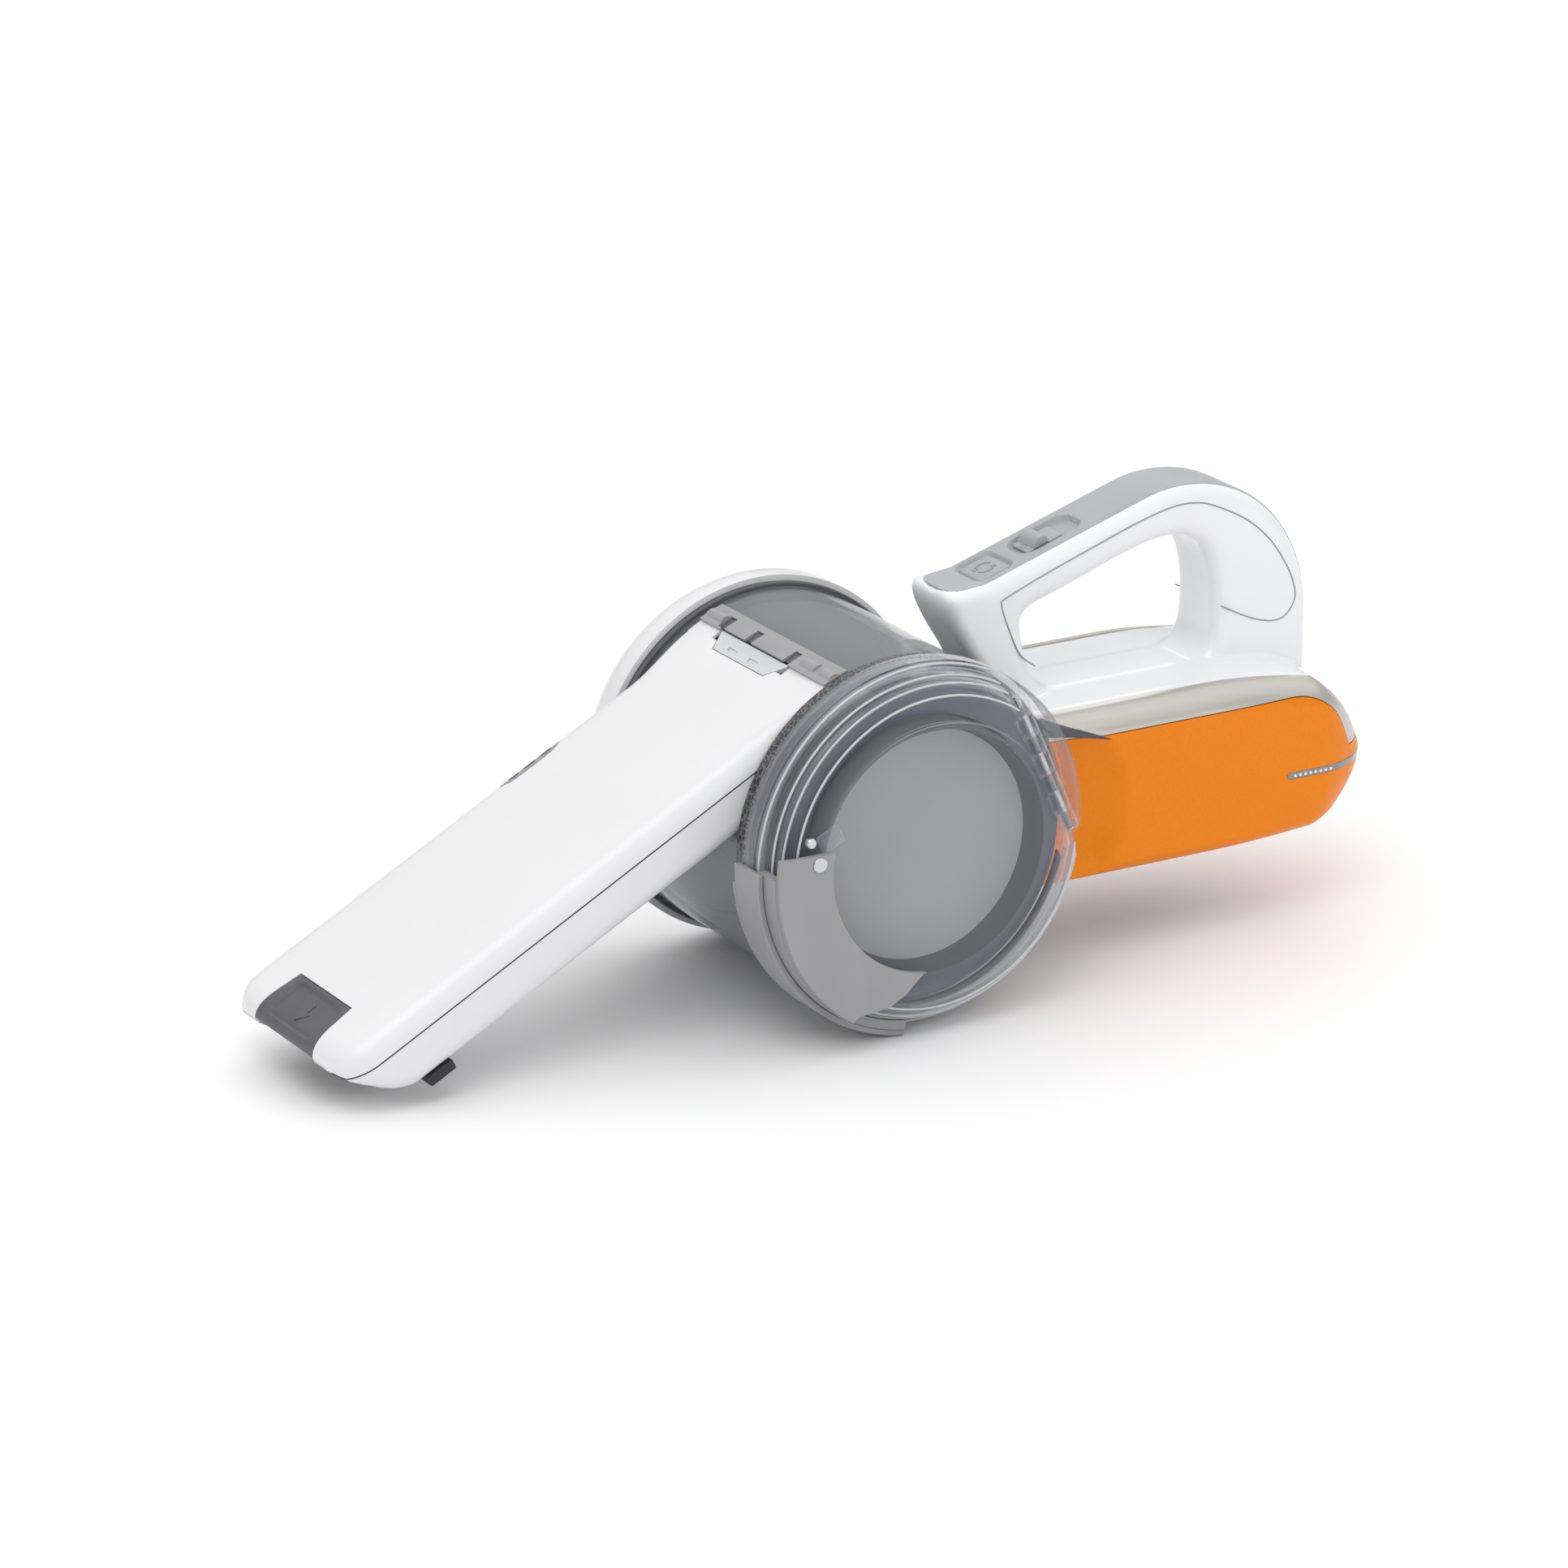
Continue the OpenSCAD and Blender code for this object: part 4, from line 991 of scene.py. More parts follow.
    @staticmethod
    def on_edge(start, end, low, high, proud):
        """Lens-shaped skin on the nozzle's far rounded edge, between two angles up it."""
        rows = []
        for i in range(25):
            share = 2 * i / 24 - 1
            reach = (high - low) * max(0.02, 1 - share ** 4) ** 0.5
            row = []
            for j in range(11):
                a = math.radians(low + reach * j / 10)
                row.append(Vector((start + (end - start) * i / 24,
                                   NOZZLE_HALF - EDGE_ROUND + (EDGE_ROUND + proud) * math.cos(a),
                                   NOZZLE_TOP - EDGE_ROUND + (EDGE_ROUND + proud) * math.sin(a))))
            rows.append(row)
        return mesh_of(grid(rows, flip=True))

    def pull(self):
        """Dished pull following the nozzle's tip."""
        rows = []
        for i in range(37):
            x = -NOZZLE_REACH + 0.4 + 20.6 * i / 36
            row = []
            for j in range(49):
                y = (22.0 - 3.2 * i / 36) * (j / 24 - 1)
                dx, dy = abs(x + NOZZLE_REACH - 11.4) - 4.6, abs(y) - 12.6
                gap = math.hypot(max(dx, 0), max(dy, 0)) + min(max(dx, dy), 0) - 3.0
                share = min(1.0, max(0.0, 0.5 - gap / 1.4))
                row.append(Vector((x, y, self.heights(x)[1] - 0.25
                                   - 1.1 * share * share * (3 - 2 * share))))
            rows.append(row)
        holder = holder_of("pull", mesh_of(grid(rows, flip=True)))
        wall = holder.modifiers.new("wall", "SOLIDIFY")
        wall.thickness, wall.offset = 2.4, -1
        piece("pull_dish", evaluated(holder), "dark_grey_plastic", "crevice_tool",
              NOZZLE, ("crevice_pull",), bevel=0.4)

    def dressing(self, windows):
        """Pull with its arrow, feet, inlay with its pictograms, knuckles, tab and windows."""
        self.pull()
        x, z = -NOZZLE_REACH + 11.4, NOZZLE_TOP - 1.45
        arrow = [(x - 5, 0), (x - 0.5, 4.4), (x - 0.5, 2.1), (x + 4, 2.1), (x + 4, -2.1),
                 (x - 0.5, -2.1), (x - 0.5, -4.4)]
        piece("pull_arrow", mesh_of(prism(arrow, z - 0.1, z + 0.35)), "dark_grey_plastic",
              "crevice_tool", NOZZLE, bevel=0.12)
        refined("nozzle_feet", "rubber", "drum", 0.7)
        piece("inlay_side", self.on_edge(-93, -66, 12, 62, 0.1), "mid_grey_plastic", "drum",
              NOZZLE, ("side_inlay",))
        piece("inlay_top", self.on_edge(-93, -66, 61, 88, 0.1), "mid_grey_plastic", "drum",
              NOZZLE)
        for k, (start, end) in enumerate(((-89, -84.5), (-82.5, -77), (-75, -70))):
            piece("inlay_mark_" + str(k), self.on_edge(start, end, 64, 78, 0.2),
                  "dark_grey_plastic", "drum", NOZZLE)
        refined("nozzle_knuckles", "mid_grey_plastic", "drum", 0.5)
        refined("release_tab", "frosted_clear", "tab", 0.25)
        dark = [prism(outline, NOZZLE_TOP - 0.5, NOZZLE_TOP + 0.02) for outline in windows]
        piece("tab_windows", mesh_of(joined(*dark)), "dark_grey_plastic", "drum",
              NOZZLE)


@operator("drum", "Drum")
class VACUUM_OT_drum(bpy.types.Operator):
    """Smoke-tinted drum, its rings and the ribbed screen inside"""

    def execute(self, context):
        refined("drum_shell", "smoke_clear", "drum", 0.3, 30)
        refined("drum_front_ring", "clear_plastic", "drum", 0.35, 30)
        refined("drum_end_plate", "dark_grey_plastic", "drum", 0.5, 30)
        refined("textured_band", "celled_band", "drum", 0.0, 30)
        refined("inlet_flap", "dark_grey_plastic", "flap", 0.3)
        self.screen(context.scene.vacuum_sizes)
        return {"FINISHED"}

    def screen(self, sizes):
        """Ribs and hoops over the pre-filter screen."""
        low, high = span("prefilter_screen", 1)
        radius = span("prefilter_screen", 0)[1]
        count = sizes.screen_ribs
        ribs = repeated("block", count, (1.0, high - low - 6, 0.9),
                        (radius - 0.55, (low + high) / 2, 0), turn=2 * math.pi / count,
                        finish="dark_grey_plastic")
        piece("screen_ribs", ribs, "dark_grey_plastic", "filter")
        hoops = []
        for i in range(5):
            y = low + 4 + (high - low - 8) * i / 4
            hoops.append(lathe([(radius - 1.6, y - 0.8), (radius - 0.1, y - 0.8),
                                (radius - 0.1, y + 0.8), (radius - 1.6, y + 0.8),
                                (radius - 1.6, y - 0.8)], 96))
        piece("screen_hoops", mesh_of(joined(*hoops)), "dark_grey_plastic", "filter")


@operator("lid", "Lid and Latch")
class VACUUM_OT_lid(bpy.types.Operator):
    """Stepped clear lid with its hinge, the filter cup behind it and the side latch"""

    def execute(self, context):
        self.window()
        self.step_highlights_and_seal()
        self.cup()
        plate = copied("latch_plate")
        bmesh.ops.transform(plate, matrix=PLACE.inverted(), verts=plate.verts)
        end = [(-7.6, -41.4), (-14.5, -47.6), (-20.5, -50.9), (-27, -51.8), (-33, -52.2),
               (-38, -55.5), (-42, -62), (-40, -80), (14, -80), (14, -41.4)]
        piece("latch_front", cut(mesh_of(plate), prism(end, -84, -66, False)),
              "mid_grey_plastic", "latch", stands_for=("latch_plate",),
              bevel=0.9)
        refined("latch_band", "mid_grey_plastic", "latch", 0.5)
        refined("latch_pin", "steel", "lid", 0.4)
        self.bracket()
        return {"FINISHED"}

    def window(self):
        """Concentric steps from the rim to the flat face, cut off along the hinge."""
        rim = -58.3
        outside = [(RIM_R - 0.5, rim), (RIM_R - 0.5, rim - 1.6), (RIM_R - 1.0, rim - 2.4),
                   (RIM_R - 3.0, rim - 2.8), (RIM_R - 3.3, rim - 3.4), (RIM_R - 3.5, rim - 6.0),
                   (RIM_R - 4.2, rim - 6.6), (RIM_R - 4.5, rim - 8.2), (RIM_R - 5.6, rim - 10.4),
                   (RIM_R - 6.6, rim - 10.9), (RIM_R - 7.6, rim - 12.2),
                   (RIM_R - 9.4, LID_FACE + 0.9), (RIM_R - 11.2, LID_FACE + 0.7),
                   (RIM_R - 12.2, LID_FACE + 0.15), (RIM_R - 15.4, LID_FACE),
                   (CUP_R + 1.8, LID_FACE), (CUP_R + 1.2, LID_FACE + 0.7),
                   (CUP_R - 0.2, LID_FACE + 0.9), (CUP_R - 2.4, LID_FACE + 0.9),
                   (0.001, LID_FACE + 0.9)]
        wall = 1.9
        inside = [(max(0.001, r - (wall if r > 50 else 0)), y + (wall if r < 62.3 else 0.0))
                  for r, y in reversed(outside)]
        inside = [(r, min(y, rim)) for r, y in inside]
        mesh = mesh_of(lathe(outside + inside + outside[:1], 160))
        bm = bmesh.new()
        bm.from_mesh(mesh)
        turn = Matrix.Rotation(math.radians(-HINGE_TURN), 3, "Y")
        way = turn @ Vector((1, 0, 0))
        edge = 48.6
        made = bmesh.ops.bisect_plane(bm, geom=bm.verts[:] + bm.edges[:] + bm.faces[:],
                                      plane_co=way * edge, plane_no=way, clear_outer=True)
        rim_edges = [e for e in made["geom_cut"] if isinstance(e, bmesh.types.BMEdge)]
        bmesh.ops.edgenet_fill(bm, edges=rim_edges)
        bmesh.ops.recalc_face_normals(bm, faces=bm.faces)
        piece("lid_dome", mesh_of(bm), "clear_plastic", "lid",
              stands_for=("lid_window",), smooth=28)
        hinge = copied("lid_window")
        place = AXIS + way * (edge + 0.05) * MM
        bmesh.ops.bisect_plane(hinge, geom=hinge.verts[:] + hinge.edges[:] + hinge.faces[:],
                               plane_co=place, plane_no=way, clear_inner=True)
        loose = [e for e in hinge.edges if e.is_boundary]
        bmesh.ops.holes_fill(hinge, edges=loose)
        piece("lid_hinge_row", mesh_of(hinge), "clear_plastic", "lid",
              Matrix.Identity(4), smooth=28, bevel=0.25)

    def step_highlights_and_seal(self):
        """Bright wires along the corners of the lid's steps, which are painted highlights, and the dark seal seen
        behind them.
        """
        edges = []
        # Pale wires along the step corners: painted highlights of the lid's steps.
        for radius, y in ((64.3, -60.2), (61.5, -64.6), (59.6, -67.8), (56.2, -71.2)):
            stop = math.acos(min(1, 48.4 / radius))
            turns = [stop + (2 * math.pi - 2 * stop) * i / 120 for i in range(121)]
            turned = [a + math.radians(HINGE_TURN) for a in turns]
            edges.append(wire([(radius * math.cos(a), y, radius * math.sin(a)) for a in turned],
                              0.42))
        bm = bmesh.new()
        for mesh in edges:
            bm.from_mesh(mesh)
        piece("lid_step_highlights", mesh_of(bm), "frosted_clear", "lid")
        seal = lathe([(CUP_R + 1.4, -60.4), (55.6, -60.4), (56.4, -59.4), (56.4, -57.4),
                      (CUP_R + 1.4, -57.4), (CUP_R + 1.4, -60.4)], 128)
        piece("filter_seal", mesh_of(seal), "seal_blue", "filter")

    def cup(self):
        """Cup with a dark wall and a lighter dished floor."""
        front, back = span("filter_cup", 1)
        depth = back - front - 2.5
        floor = front + depth
        profile = [(CUP_R, back), (CUP_R, front + 0.8), (CUP_R - 0.5, front),
                   (CUP_R - 1.3, front), (CUP_R - 1.8, front + 0.8), (CUP_R - 2.8, floor - 2.2),
                   (CUP_R - 3.6, floor - 1.0), (CUP_R - 5.2, floor - 0.4), (34, floor - 0.15),
                   (18, floor), (0.001, floor), (0.001, back), (CUP_R, back)]
        dark = len(profile) - 1
        materials = [0 if i < 6 or i > 9 else 1 for i in range(dark)]
        piece("filter_dish", mesh_of(lathe(profile, 144, materials)),
              ["dark_grey_plastic", "dish_grey"], "filter",
              stands_for=("filter_cup",), smooth=30)

    def bracket(self):
        """Clear bracket tab beside the latch pin."""
        pin = [(a + b) / 2 for a, b in (span("latch_pin", 0), span("latch_pin", 2))]
        x, z = -43.5, 13.5
        base = slab((x - 4.5, LID_FACE - 1.2, z - 3.4), (x + 4.5, LID_FACE + 0.4, z + 3.4), 0.5)
        lip = slab((x - 3.0, LID_FACE - 1.9, z - 2.0), (x + 3.0, LID_FACE - 0.8, z + 2.0), 0.4)
        tilt = Matrix.Translation((x, 0, z)) @ Matrix.Rotation(math.radians(-24), 4, "Y")
        bm = joined(base, lip)
        bmesh.ops.transform(bm, matrix=tilt @ Matrix.Translation((-x, 0, -z)), verts=bm.verts)
        piece("lid_bracket", mesh_of(bm), "clear_plastic", "lid")
        screw = joined(lathe([(0.001, LID_FACE - 1.4), (1.5, LID_FACE - 1.4),
                              (1.9, LID_FACE - 0.9), (1.9, LID_FACE + 0.6),
                              (0.001, LID_FACE + 0.6)], 24))
        bmesh.ops.translate(screw, verts=screw.verts, vec=(pin[0] - 2.2, 0, pin[1] + 7.4))
        piece("latch_screw", mesh_of(screw), "steel", "lid")


@operator("covers", "Covers and Trim")
class VACUUM_OT_covers(bpy.types.Operator):
    """Coloured side covers, champagne trim, the tub under them, indicator and grille"""

    def execute(self, context):
        wall = context.scene.vacuum_sizes.shell
        edge = {t: split_at(t, edge_height) for t in COLUMNS}
        crest = {t: split_at(t, lambda x: edge_height(x) + 0.35) for t in COLUMNS}
        slot = slab((TAIL - 44.7, -60, -12.1), (TAIL + 2, -30, -9.5), 0.9, 3)
        jack = self.jack_hole()
        for right in (False, True):
            side = "right" if right else "left"
            rows = body_patch(lambda t: 0.0, lambda t: edge[t], 46, 0, not right, 4.0)
            cutters = [jack] if right else [slot, self.jack_hole()]
            body_piece("cover_shell_" + side, rows, right, "orange_plastic",
                       ("cover_" + side,), wall, cutters)
            rows = body_patch(lambda t: crest[t], lambda t: 1.0, 14, 0, not right)
            body_piece("trim_shell_" + side, rows, right, "champagne_trim",
                       ("trim_" + side,), wall)
            rows = body_patch(lambda t: 0.0, lambda t: min(1.0, edge[t] + 0.1), 30, 2.7,
                              not right, 44.0)
            body_piece("tub_" + side, rows, right, "white_plastic", (), 1.8)
        self.wedges()
        self.lights()
        refined("front_frame", "dark_grey_plastic", "body", 0.4)
        refined("charge_socket", "rubber", "body", 0.3)
        self.grille()
        return {"FINISHED"}

    @staticmethod
    def wedges():
        """Dark corner pieces where the near side meets the drum."""
        def upper(x):
            return 29.4 - (x - 64) * 0.475

        def lower(x):
            return 21.4 - (x - 64) * 0.18
        bm = bmesh.new()
        for high, low in ((upper, lower), (lambda x: -33.0 - (x - 66) * 0.2,
                                           lambda x: -37.5)):
            rows = []
            for i in range(8):
                row = []
                for k in range(19):
                    t = 0.21 * k / 18
                    x = body_point(t, 0.6).x
                    wanted = low(x) + max(0.0, high(x) - low(x)) * i / 7
                    share = split_at(t, lambda _, z=wanted: z)
                    row.append(scooped(body_point(t, share, -0.16), -0.16))
                rows.append(row)
            patch = grid(rows)
            bm.from_mesh(mesh_of(patch))
        piece("front_wedges", mesh_of(bm), "dark_grey_plastic", "body")

    @staticmethod
    def jack_hole():
        bm = bmesh.new()
        bmesh.ops.create_cone(bm, cap_ends=True, segments=48, radius1=5.2, radius2=5.2, depth=30)
        bmesh.ops.transform(bm, verts=bm.verts, matrix=Matrix.Translation((TAIL, 0, -22))
                            @ Matrix.Rotation(math.pi / 2, 4, "Y"))
        return bm

    def lights(self):
        """Window strip with eight light dots."""
        refined("charge_indicator", "indicator_grey", "body", 0.2)
        low, high = span("indicator_leds", 0)
        front = span("charge_indicator", 1)[0]
        dots = repeated("block", 8, (0.9, 0.5, 0.9), (low + 0.7, front - 0.05, -10.8),
                        ((high - low - 1.4) / 7, 0, 0), finish="gloss_white")
        piece("light_dots", dots, "gloss_white", "body",
              stands_for=("indicator_leds",))

    def grille(self):
        """Belly frame with a row of slats."""
        x0, x1 = span("vent_grille", 0)
        y0, y1 = span("vent_grille", 1)
        z0, z1 = span("vent_grille", 2)
        slats = repeated("block", 9, (1.7, y1 - y0 - 4, 1.6), (x0 + 2.4, 0, (z0 + z1) / 2 + 0.2),
                         ((x1 - x0 - 4.8) / 8, 0, 0), tilt=(0, 0.5, 0),
                         finish="dark_grey_plastic")
        bm = bmesh.new()
        bm.from_mesh(slats)
        rim = prism(round_outline(x0, y0, x1, y1, 3), z0, z1)
        hole = prism(round_outline(x0 + 2, y0 + 2, x1 - 2, y1 - 2, 2), z0 - 1, z1 + 1)
        rim_mesh = cut(mesh_of(rim), hole)
        bm.from_mesh(rim_mesh)
        piece("vent_slats", mesh_of(bm), "dark_grey_plastic", "body",
              stands_for=("vent_grille",), bevel=0.25)


@operator("handle", "Handle and Deck")
class VACUUM_OT_handle(bpy.types.Operator):
    """Looped handle blended into the deck, its panel lines, grip, lock button and slide switch"""

    END = GRIP + 70.5 * RISE
    REAR = TAIL - 18
    CROWN = (END, END + 24 * RISE, Vector((REAR - 7.5, 90)), Vector((REAR, 46)))
    NOSE = ((50.5, 44), (42, 57), (35, 70), (43.5, 69.8))

    def outer(self, inset, steps=28):
        start = [Vector((66 + inset, 10)), Vector((58 + inset, 30))]
        top = [GRIP + inset * Vector((RISE.y, -RISE.x))]
        foot = [Vector((self.REAR - inset, 8)), Vector((self.REAR - 8 - inset, 4))]
        return (start + bezier(self.NOSE, 14, inset) + top + bezier(self.CROWN, steps, inset)
                + foot)

    def hole(self, grown):
        start = (70.5, 53)
        return (bezier(((83, DECK + 0.2), (75, 30), (72, 42), start), 8, -grown)
                + bezier((start, (70, 60), (76, 59.8), (84, 62.6)), 8, -grown)[1:]
                + bezier(((84, 62.6), (121, 74.4), (152, 92), (152.4, 47)), 18, -grown)[1:]
                + bezier(((152.4, 47), (152.4, 34), (150, 30), (143, DECK + 0.2)), 8, -grown)[1:])

    def execute(self, context):
        sizes = context.scene.vacuum_sizes
        white = joined(self.loop(sizes.handle_round), self.deck())
        holder = holder_of("white", mesh_of(white))
        weld = holder.modifiers.new("weld", "REMESH")
        weld.mode, weld.voxel_size = "VOXEL", 1.15
        soft = holder.modifiers.new("soft", "SMOOTH")
        soft.factor, soft.iterations = 0.5, sizes.blend
        mesh = evaluated(holder)
        self.sink(mesh)
        piece("handle_and_deck", mesh, "gloss_white", "body",
              stands_for=("housing_left", "housing_right", "grip_panel_left",
                          "grip_panel_right"), smooth=60)
        self.lines()
        self.grip()
        self.controls()
        return {"FINISHED"}

    def loop(self, edge, steps=6):
        """Solid handle loop with its edges rounded."""
        half = HANDLE_HALF - 0.1
        levels = [(edge * (1 - math.cos(a)), half - edge * (1 - math.sin(a)))
                  for a in (math.pi / 2 * i / steps for i in range(steps + 1))]
        levels = [(inset, -y) for inset, y in levels[::-1]] + levels
        bm = bmesh.new()
        rings = []
        for path in (self.outer, self.hole):
            near, far = path(0.0), path(1.0)
            rows = []
            for inset, y in levels:
                row = []
                for a, b in zip(near, far):
                    share = 0.62 if path == self.outer and a.x < 52 and a.y > 40 else 1.0
                    place = a + (b - a) * inset * share
                    row.append(bm.verts.new((place.x, y, place.y)))
                rows.append(row)
            for low, high in zip(rows, rows[1:]):
                for i in range(len(low)):
                    k = (i + 1) % len(low)
                    bm.faces.new((low[i], low[k], high[k], high[i]))
            rings.append(rows)
        for level in (0, -1):
            edges = []
            for rows in rings:
                row = rows[level]
                edges += [bm.edges.get((row[i], row[(i + 1) % len(row)]))
                          for i in range(len(row))]
            bmesh.ops.triangle_fill(bm, edges=edges, use_beauty=True)
        bmesh.ops.recalc_face_normals(bm, faces=bm.faces)
        return bm

    def sink(self, mesh):
        """Bed for the grip strip, deeper under the button and the switch."""
        line, back = self.top_line(), GRIP_TURN.inverted()
        tree = KDTree(len(line))
        for i, (_, place, _, _) in enumerate(line):
            tree.insert((place.x, 0, place.y), i)
        tree.balance()
        for vert in mesh.vertices:
            if vert.co.z > 40:
                _, i, gap = tree.find((vert.co.x, 0, vert.co.z))
                _, place, out, half = line[i]
                depth = (Vector((vert.co.x, vert.co.z)) - place).dot(out)
                if gap < 3 and depth > -0.8 and abs(vert.co.y) < half - 0.7:
                    vert.co.x -= out.x * (0.8 + depth)
                    vert.co.z -= out.y * (0.8 + depth)
            place = back @ vert.co
            button = -0.9 < place.x < 14.9 and abs(place.y) < 9.4
            switch = 19.0 < place.x < 47.0 and abs(place.y) < 7.6
            if (button or switch) and -3.7 < place.z < 4:
                place.z = -3.7
                vert.co = GRIP_TURN @ place

    def deck(self):
        """Solid deck between the trims, crowned towards the tail."""
        rows = []
        for t in [t for t in COLUMNS if t <= 2]:
            edge = body_point(t, 1.0, 0.3)
            rise = min(top_height(edge.x), DECK) - edge.z
            rows.append([Vector((edge.x, edge.y * (1 - j / 14), edge.z + rise
                                 * (1 - abs(1 - j / 14) ** 3))) for j in range(29)])
        bm = grid(rows, flip=True)
        made = bmesh.ops.extrude_face_region(bm, geom=bm.faces[:])["geom"]
        for vert in made:
            if isinstance(vert, bmesh.types.BMVert):
                vert.co.z = min(vert.co.z - 3.2, 16)
        bmesh.ops.recalc_face_normals(bm, faces=bm.faces)
        return bm

    def lines(self):
        """Fine outlines of the inset side panels."""
        corners = [(74.5, 38.6), (68.5, 43.6), (64, 53), (60.6, 63.2), (63.1, 65.8), (80, 72.2),
                   (98.9, 78.6), (118, 84.8), (132.6, 88.1), (143, 87.7), (151, 84.9), (163, 78.5),
                   (172.6, 70.2), (179.5, 60.8), (183.8, 52.1), (184.5, 44.6), (178.8, 38.8),
                   (168.1, 40.3), (153.2, 47.5)]
        path = through([Vector(corner) for corner in corners], 6)
        made = []
        for side in (-1, 1):
            made.append(wire([(p.x, side * (HANDLE_HALF - 0.14), p.y) for p in path], 0.3))
        bm = bmesh.new()
        for mesh in made:
            bm.from_mesh(mesh)
        piece("panel_lines", mesh_of(bm), "mid_grey_plastic", "body")

    @staticmethod
    def inside(s, y, centre, length, width, radius):
        """1 inside a rounded rectangle on the grip, falling to 0 just outside."""
        dx = abs(s - centre) - length / 2 + radius
        dy = abs(y) - width / 2 + radius
        gap = math.hypot(max(dx, 0), max(dy, 0)) + min(max(dx, dy), 0) - radius
        share = min(1.0, max(0.0, 0.5 - gap / 1.1))
        return share * share * (3 - 2 * share)

    def top_line(self):
        """Stations along the strip: distance from the grip's start, place, way out, half width."""
        outline = [GRIP + i * 0.75 * RISE for i in range(94)] + bezier(self.CROWN, 120)
        lead = bezier(self.NOSE, 40)[-6:]
        bridge = [lead[-1] + (GRIP - lead[-1]) * i / 16 for i in range(16)]
        outline = [p for p in lead if p.x > 41.4][:-1] + bridge + outline
        travel, made = [0.0], []
        for a, b in zip(outline, outline[1:]):
            travel.append(travel[-1] + (b - a).length)
        zero = min(range(len(outline)), key=lambda i: (outline[i] - GRIP).length)
        for i, place in enumerate(outline):
            ahead = outline[min(i + 1, len(outline) - 1)] - outline[max(i - 1, 0)]
            near, far, half = travel[i], travel[-1] - travel[i], 11.4
            if near < 7:
                half -= 7 - math.sqrt(max(0, 49 - (7 - near) ** 2))
            if far < 9:
                half -= 9 - math.sqrt(max(0, 81 - (9 - far) ** 2))
            made.append((travel[i] - travel[zero], place,
                         Vector((-ahead.y, ahead.x)).normalized(), half))
        return made

    def grip(self):
        """Soft strip along the top with recesses for the two controls."""
        rows = []
        for s, place, out, half in self.top_line():
            row = []
            for j in range(41):
                y = half * (j / 20 - 1)
                over = max(0.0, abs(y) - (HANDLE_HALF - 5.5))
                drop = 5.5 - math.sqrt(max(0.1, 5.5 ** 2 - over ** 2))
                drop += 1.5 * self.inside(s, y, 7, 15.4, 18.0, 3.5)
                drop += 1.9 * self.inside(s, y, 33, 26.5, 14.0, 5.5)
                point = place - out * drop
                row.append(Vector((point.x, y, point.y)))
            rows.append(row)
        bm = grid(rows, flip=False)
        bmesh.ops.recalc_face_normals(bm, faces=bm.faces)
        if sum(face.normal.z for face in bm.faces) < 0:
            bmesh.ops.reverse_faces(bm, faces=bm.faces)
        holder = holder_of("strip", mesh_of(bm))
        wall = holder.modifiers.new("wall", "SOLIDIFY")
        wall.thickness, wall.offset = 1.3, -1
        piece("grip_cover", evaluated(holder), "pale_grey_plastic", "body",
              stands_for=("grip_strip",), bevel=0.4, smooth=50)

    def controls(self):
        """Lock button with a turn symbol; slide switch with a thumb ridge and a ring mark."""
        button = slab((0.2, -7.9, -5), (13.8, 7.9, -0.7), 1.3, 4)
        piece("lock_cap", mesh_of(button), "pale_grey_plastic", "lock_key",
              ON_GRIP, ("lock_button",))
        arcs = []
        for start in (20, 200):
            path = [(7 + 3.4 * math.cos(math.radians(a)), 3.4 * math.sin(math.radians(a)), -0.62)
                    for a in range(start, start + 125, 12)]
            arcs.append(wire(path, 0.32))
            end = Vector(path[-1])
            way = Vector((-(end.y), end.x - 7, 0)).normalized()
            side = Vector((way.y, -way.x, 0))
            tip = [end + way * 2.0, end + side * 1.3, end - side * 1.3]
            arcs.append(mesh_of(prism([(p.x, p.y) for p in tip], -0.8, -0.5)))
        bm = bmesh.new()
        for mesh in arcs:
            bm.from_mesh(mesh)
        piece("lock_symbol", mesh_of(bm), "mid_grey_plastic", "lock_key",
              ON_GRIP)
        plate = slab((22.3, -5.2, -1.7), (37.6, 5.2, -0.5), 0.5, 3)
        ridge = []
        for i in range(13):
            x = -3.3 + 6.6 * i / 12
            h = 3.6 * max(0.0, 1 - abs(x / 3.3) ** 2.4) ** 0.5
            ridge.append((x + 28.2 + 0.16 * h, -0.8 + h))
        body = plate_of([[(p[0], p[1]) for p in ridge] + [(31.3, -1.0), (25.1, -1.0)]], 11.2,
                        0.5, 3)
        bmesh.ops.transform(body, matrix=ON_SIDE, verts=body.verts)
        piece("slide_switch", mesh_of(joined(plate, body)), "pale_grey_plastic",
              "power_switch", ON_GRIP, ("power_slider",), smooth=50)
        ring = wire([(24.0 + 0.9 * math.cos(a), 1.4 * math.sin(a), -0.5)
                     for a in (math.pi * i / 8 for i in range(16))], 0.18, True)
        piece("switch_ring", ring, "mid_grey_plastic", "power_switch",
              ON_GRIP)


@operator("hub", "Far Hub")
class VACUUM_OT_hub(bpy.types.Operator):
    """Far side cap and the arm that carries the drum"""

    def execute(self, context):
        refined("hub_cap", "white_plastic", "body", 0.8, 30)
        refined("hub_arm", "white_plastic", "body", 0.4, 30)
        return {"FINISHED"}


@operator("inner_parts", "Inner Parts")
class VACUUM_OT_inner_parts(bpy.types.Operator):
    """Gives every CAD node that stays its own procedural finish"""

    def execute(self, context):
        for subpart in frame["record"]["subparts"]:
            name = subpart["node"]
            if name not in frame["nodes"] or subpart["material_slot"] not in FINISHES:
                raise RuntimeError(f"no finish for {name}")
            shown = frame["nodes"][name]
            shown.data.materials.clear()
            shown.data.materials.append(finish_of(subpart["material_slot"]))
        return {"FINISHED"}


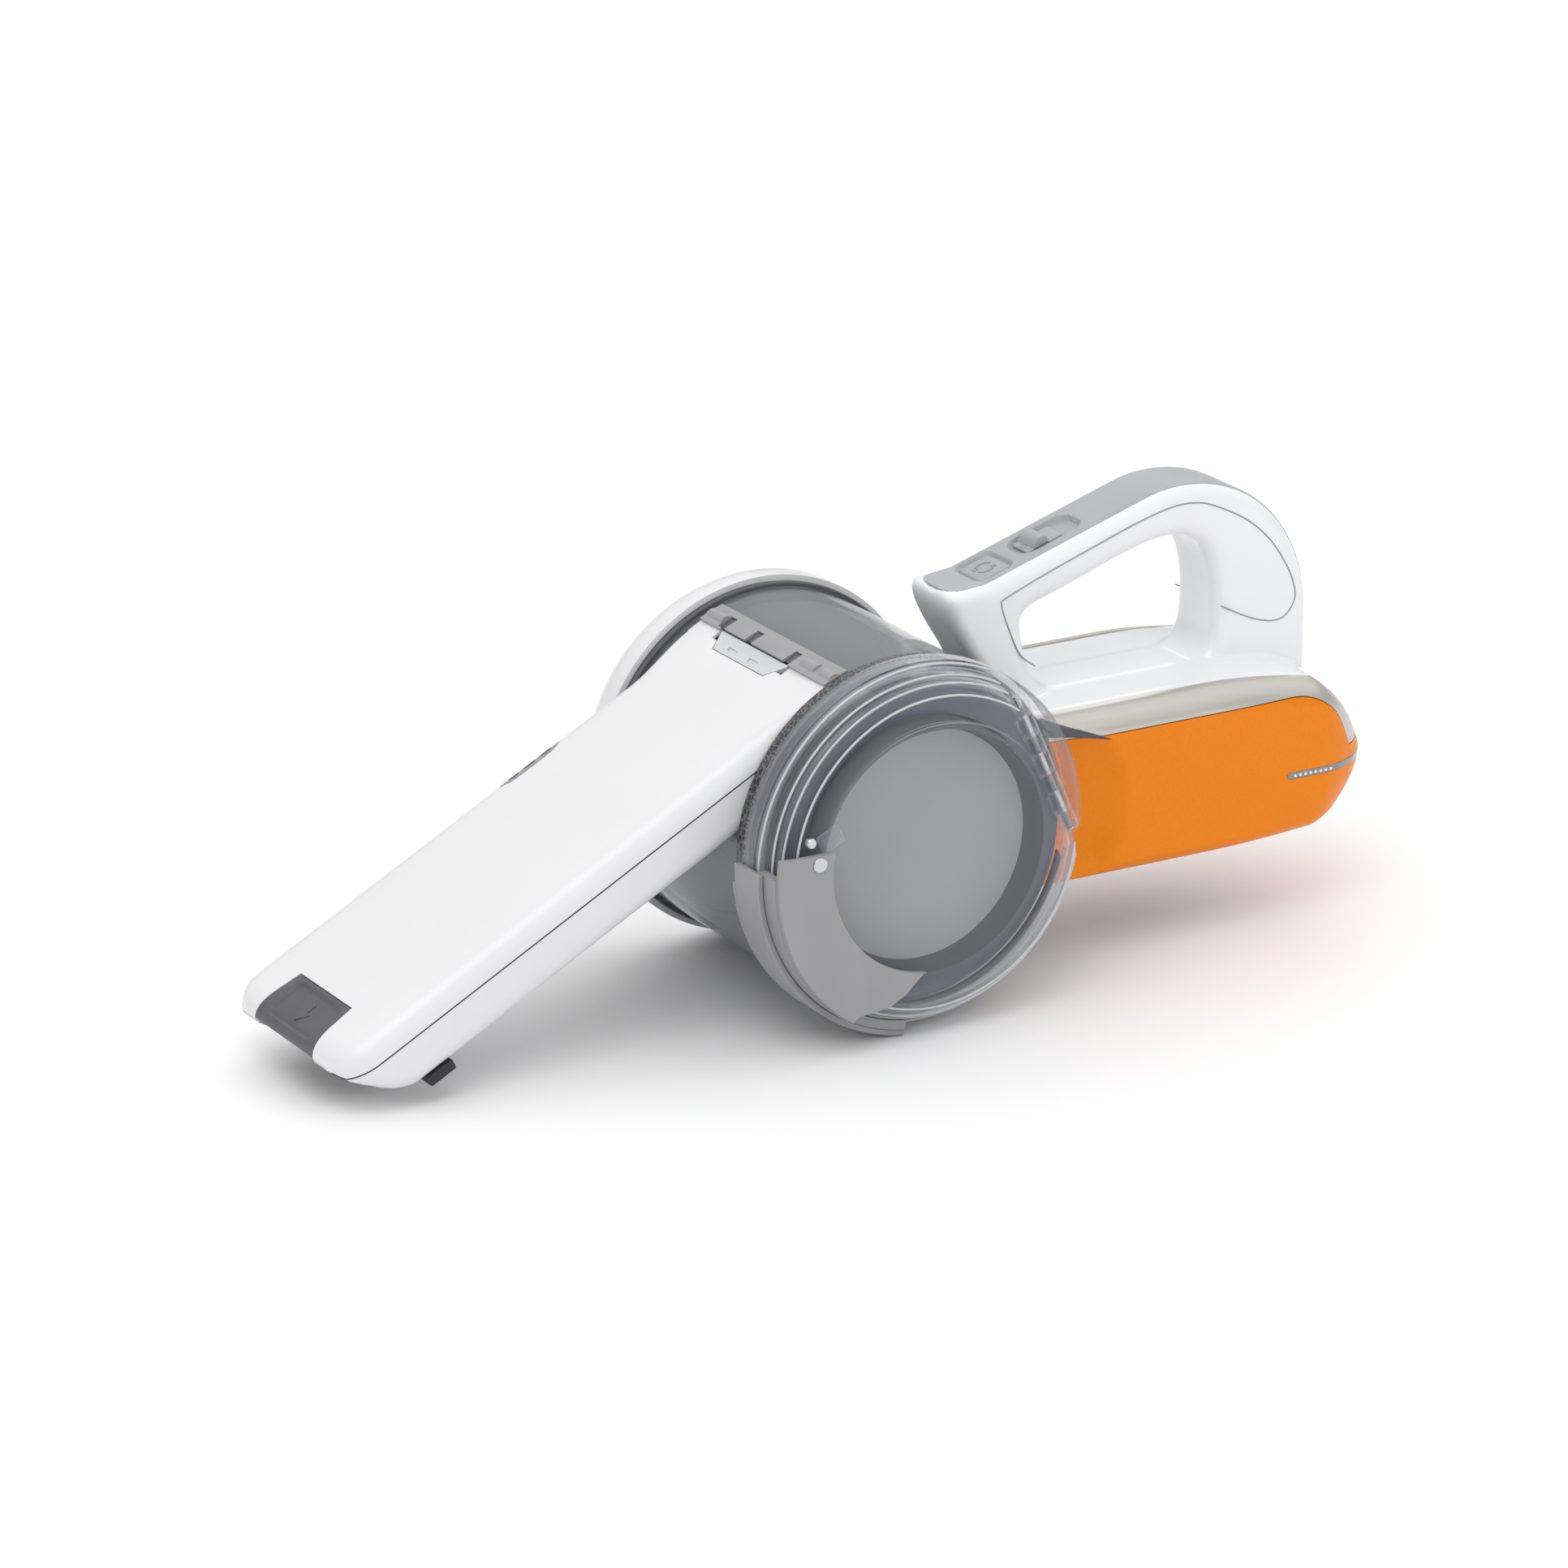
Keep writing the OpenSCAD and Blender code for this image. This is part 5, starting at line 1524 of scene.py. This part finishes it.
@operator("stage", "Stage")
class VACUUM_OT_stage(bpy.types.Operator):
    """White floor, soft lights and the camera"""

    def execute(self, context):
        sizes = context.scene.vacuum_stage
        low = CAD_BOX[0].z
        bm = bmesh.new()
        bmesh.ops.create_grid(bm, x_segments=2, y_segments=2, size=8)
        floor = holder_of("floor", mesh_of(bm))
        floor.data.transform(Matrix.Translation((0, 0, low)))
        floor.data.materials.append(finish_of("floor_white"))
        world = bpy.data.worlds.new("surround")
        context.scene.world = world
        world.use_nodes = True
        self.sky(world.node_tree, sizes.surround)
        middle = (CAD_BOX[0] + CAD_BOX[1]) / 2
        self.lamp("key", middle, (-0.75, -0.75, 1.5), 1.1, sizes.key)
        self.lamp("front", middle, (0.5, -1.6, 0.5), 0.9, sizes.key * 0.22)
        self.lamp("rear", middle, (0.9, 1.1, 1.1), 0.8, sizes.key * 0.35)
        lens = bpy.data.cameras.new("camera")
        lens.lens, lens.sensor_width, lens.clip_end = sizes.lens, 36, 50
        camera = holder_of("camera", lens)
        az, el = math.radians(-30.4685), math.radians(19.4826)
        back = Vector((math.sin(az) * math.cos(el), -math.cos(az) * math.cos(el), math.sin(el)))
        right = Vector((math.cos(az), math.sin(az), 0))
        up = right.cross(-back)
        camera.location = AXIS + (back * 2500 - right * 16.25 + up * 3.138) * MM
        camera.rotation_mode = "QUATERNION"
        camera.rotation_quaternion = (-back).to_track_quat("-Z", "Y")
        context.scene.camera = camera
        context.scene.view_settings.view_transform = "Standard"
        return {"FINISHED"}

    @staticmethod
    def sky(tree, strength):
        """White overhead, falling to a dim grey at the horizon."""
        tree.nodes.clear()
        graph = Graph(tree)
        way = graph.node("ShaderNodeTexCoord").outputs["Generated"]
        height = graph.number("ShaderNodeSeparateXYZ", None, {0: way}, "Z")
        share = graph.number("ShaderNodeMapRange", {"interpolation_type": "SMOOTHSTEP"},
                             {0: height, 1: -0.05, 2: 0.75, 3: 0.42, 4: 1.0})
        back = graph.node("ShaderNodeBackground", None, {0: (1, 1, 1, 1),
                                                         1: share * strength})
        graph.node("ShaderNodeOutputWorld", None, {0: back.outputs[0]})

    @staticmethod
    def lamp(name, aim, offset, size, power):
        data = bpy.data.lights.new(name, "AREA")
        data.shape, data.size, data.energy = "DISK", size, power
        lamp = holder_of(name, data)
        lamp.location = aim + Vector(offset)
        lamp.rotation_mode = "QUATERNION"
        lamp.rotation_quaternion = (-Vector(offset)).to_track_quat("-Z", "Y")


STEPS = (VACUUM_OT_inner_parts, VACUUM_OT_nozzle, VACUUM_OT_drum, VACUUM_OT_lid,
         VACUUM_OT_covers, VACUUM_OT_handle, VACUUM_OT_hub, VACUUM_OT_stage)


class VACUUM_PT_build(bpy.types.Panel):
    """Lists the steps that build the vacuum"""

    bl_idname, bl_label = "VACUUM_PT_build", "Hand Vacuum"
    bl_space_type, bl_region_type, bl_category = "VIEW_3D", "UI", "Vacuum"

    def draw(self, context):
        for step in STEPS:
            self.layout.operator(step.bl_idname)
        for group in (context.scene.vacuum_sizes, context.scene.vacuum_stage):
            for name in group.bl_rna.properties.keys():
                if name not in ("rna_type", "name"):
                    self.layout.prop(group, name)


CLASSES = (VacuumSizes, StageSizes, *STEPS, VACUUM_PT_build)


def register():
    for cls in CLASSES:
        bpy.utils.register_class(cls)
    bpy.types.Scene.vacuum_sizes = bpy.props.PointerProperty(type=VacuumSizes)
    bpy.types.Scene.vacuum_stage = bpy.props.PointerProperty(type=StageSizes)


def unregister():
    del bpy.types.Scene.vacuum_stage
    del bpy.types.Scene.vacuum_sizes
    for cls in reversed(CLASSES):
        bpy.utils.unregister_class(cls)


def main():
    register()
    for step in STEPS:
        group, name = step.bl_idname.split(".")
        getattr(getattr(bpy.ops, group), name)()


if __name__ == "__main__":
    main()
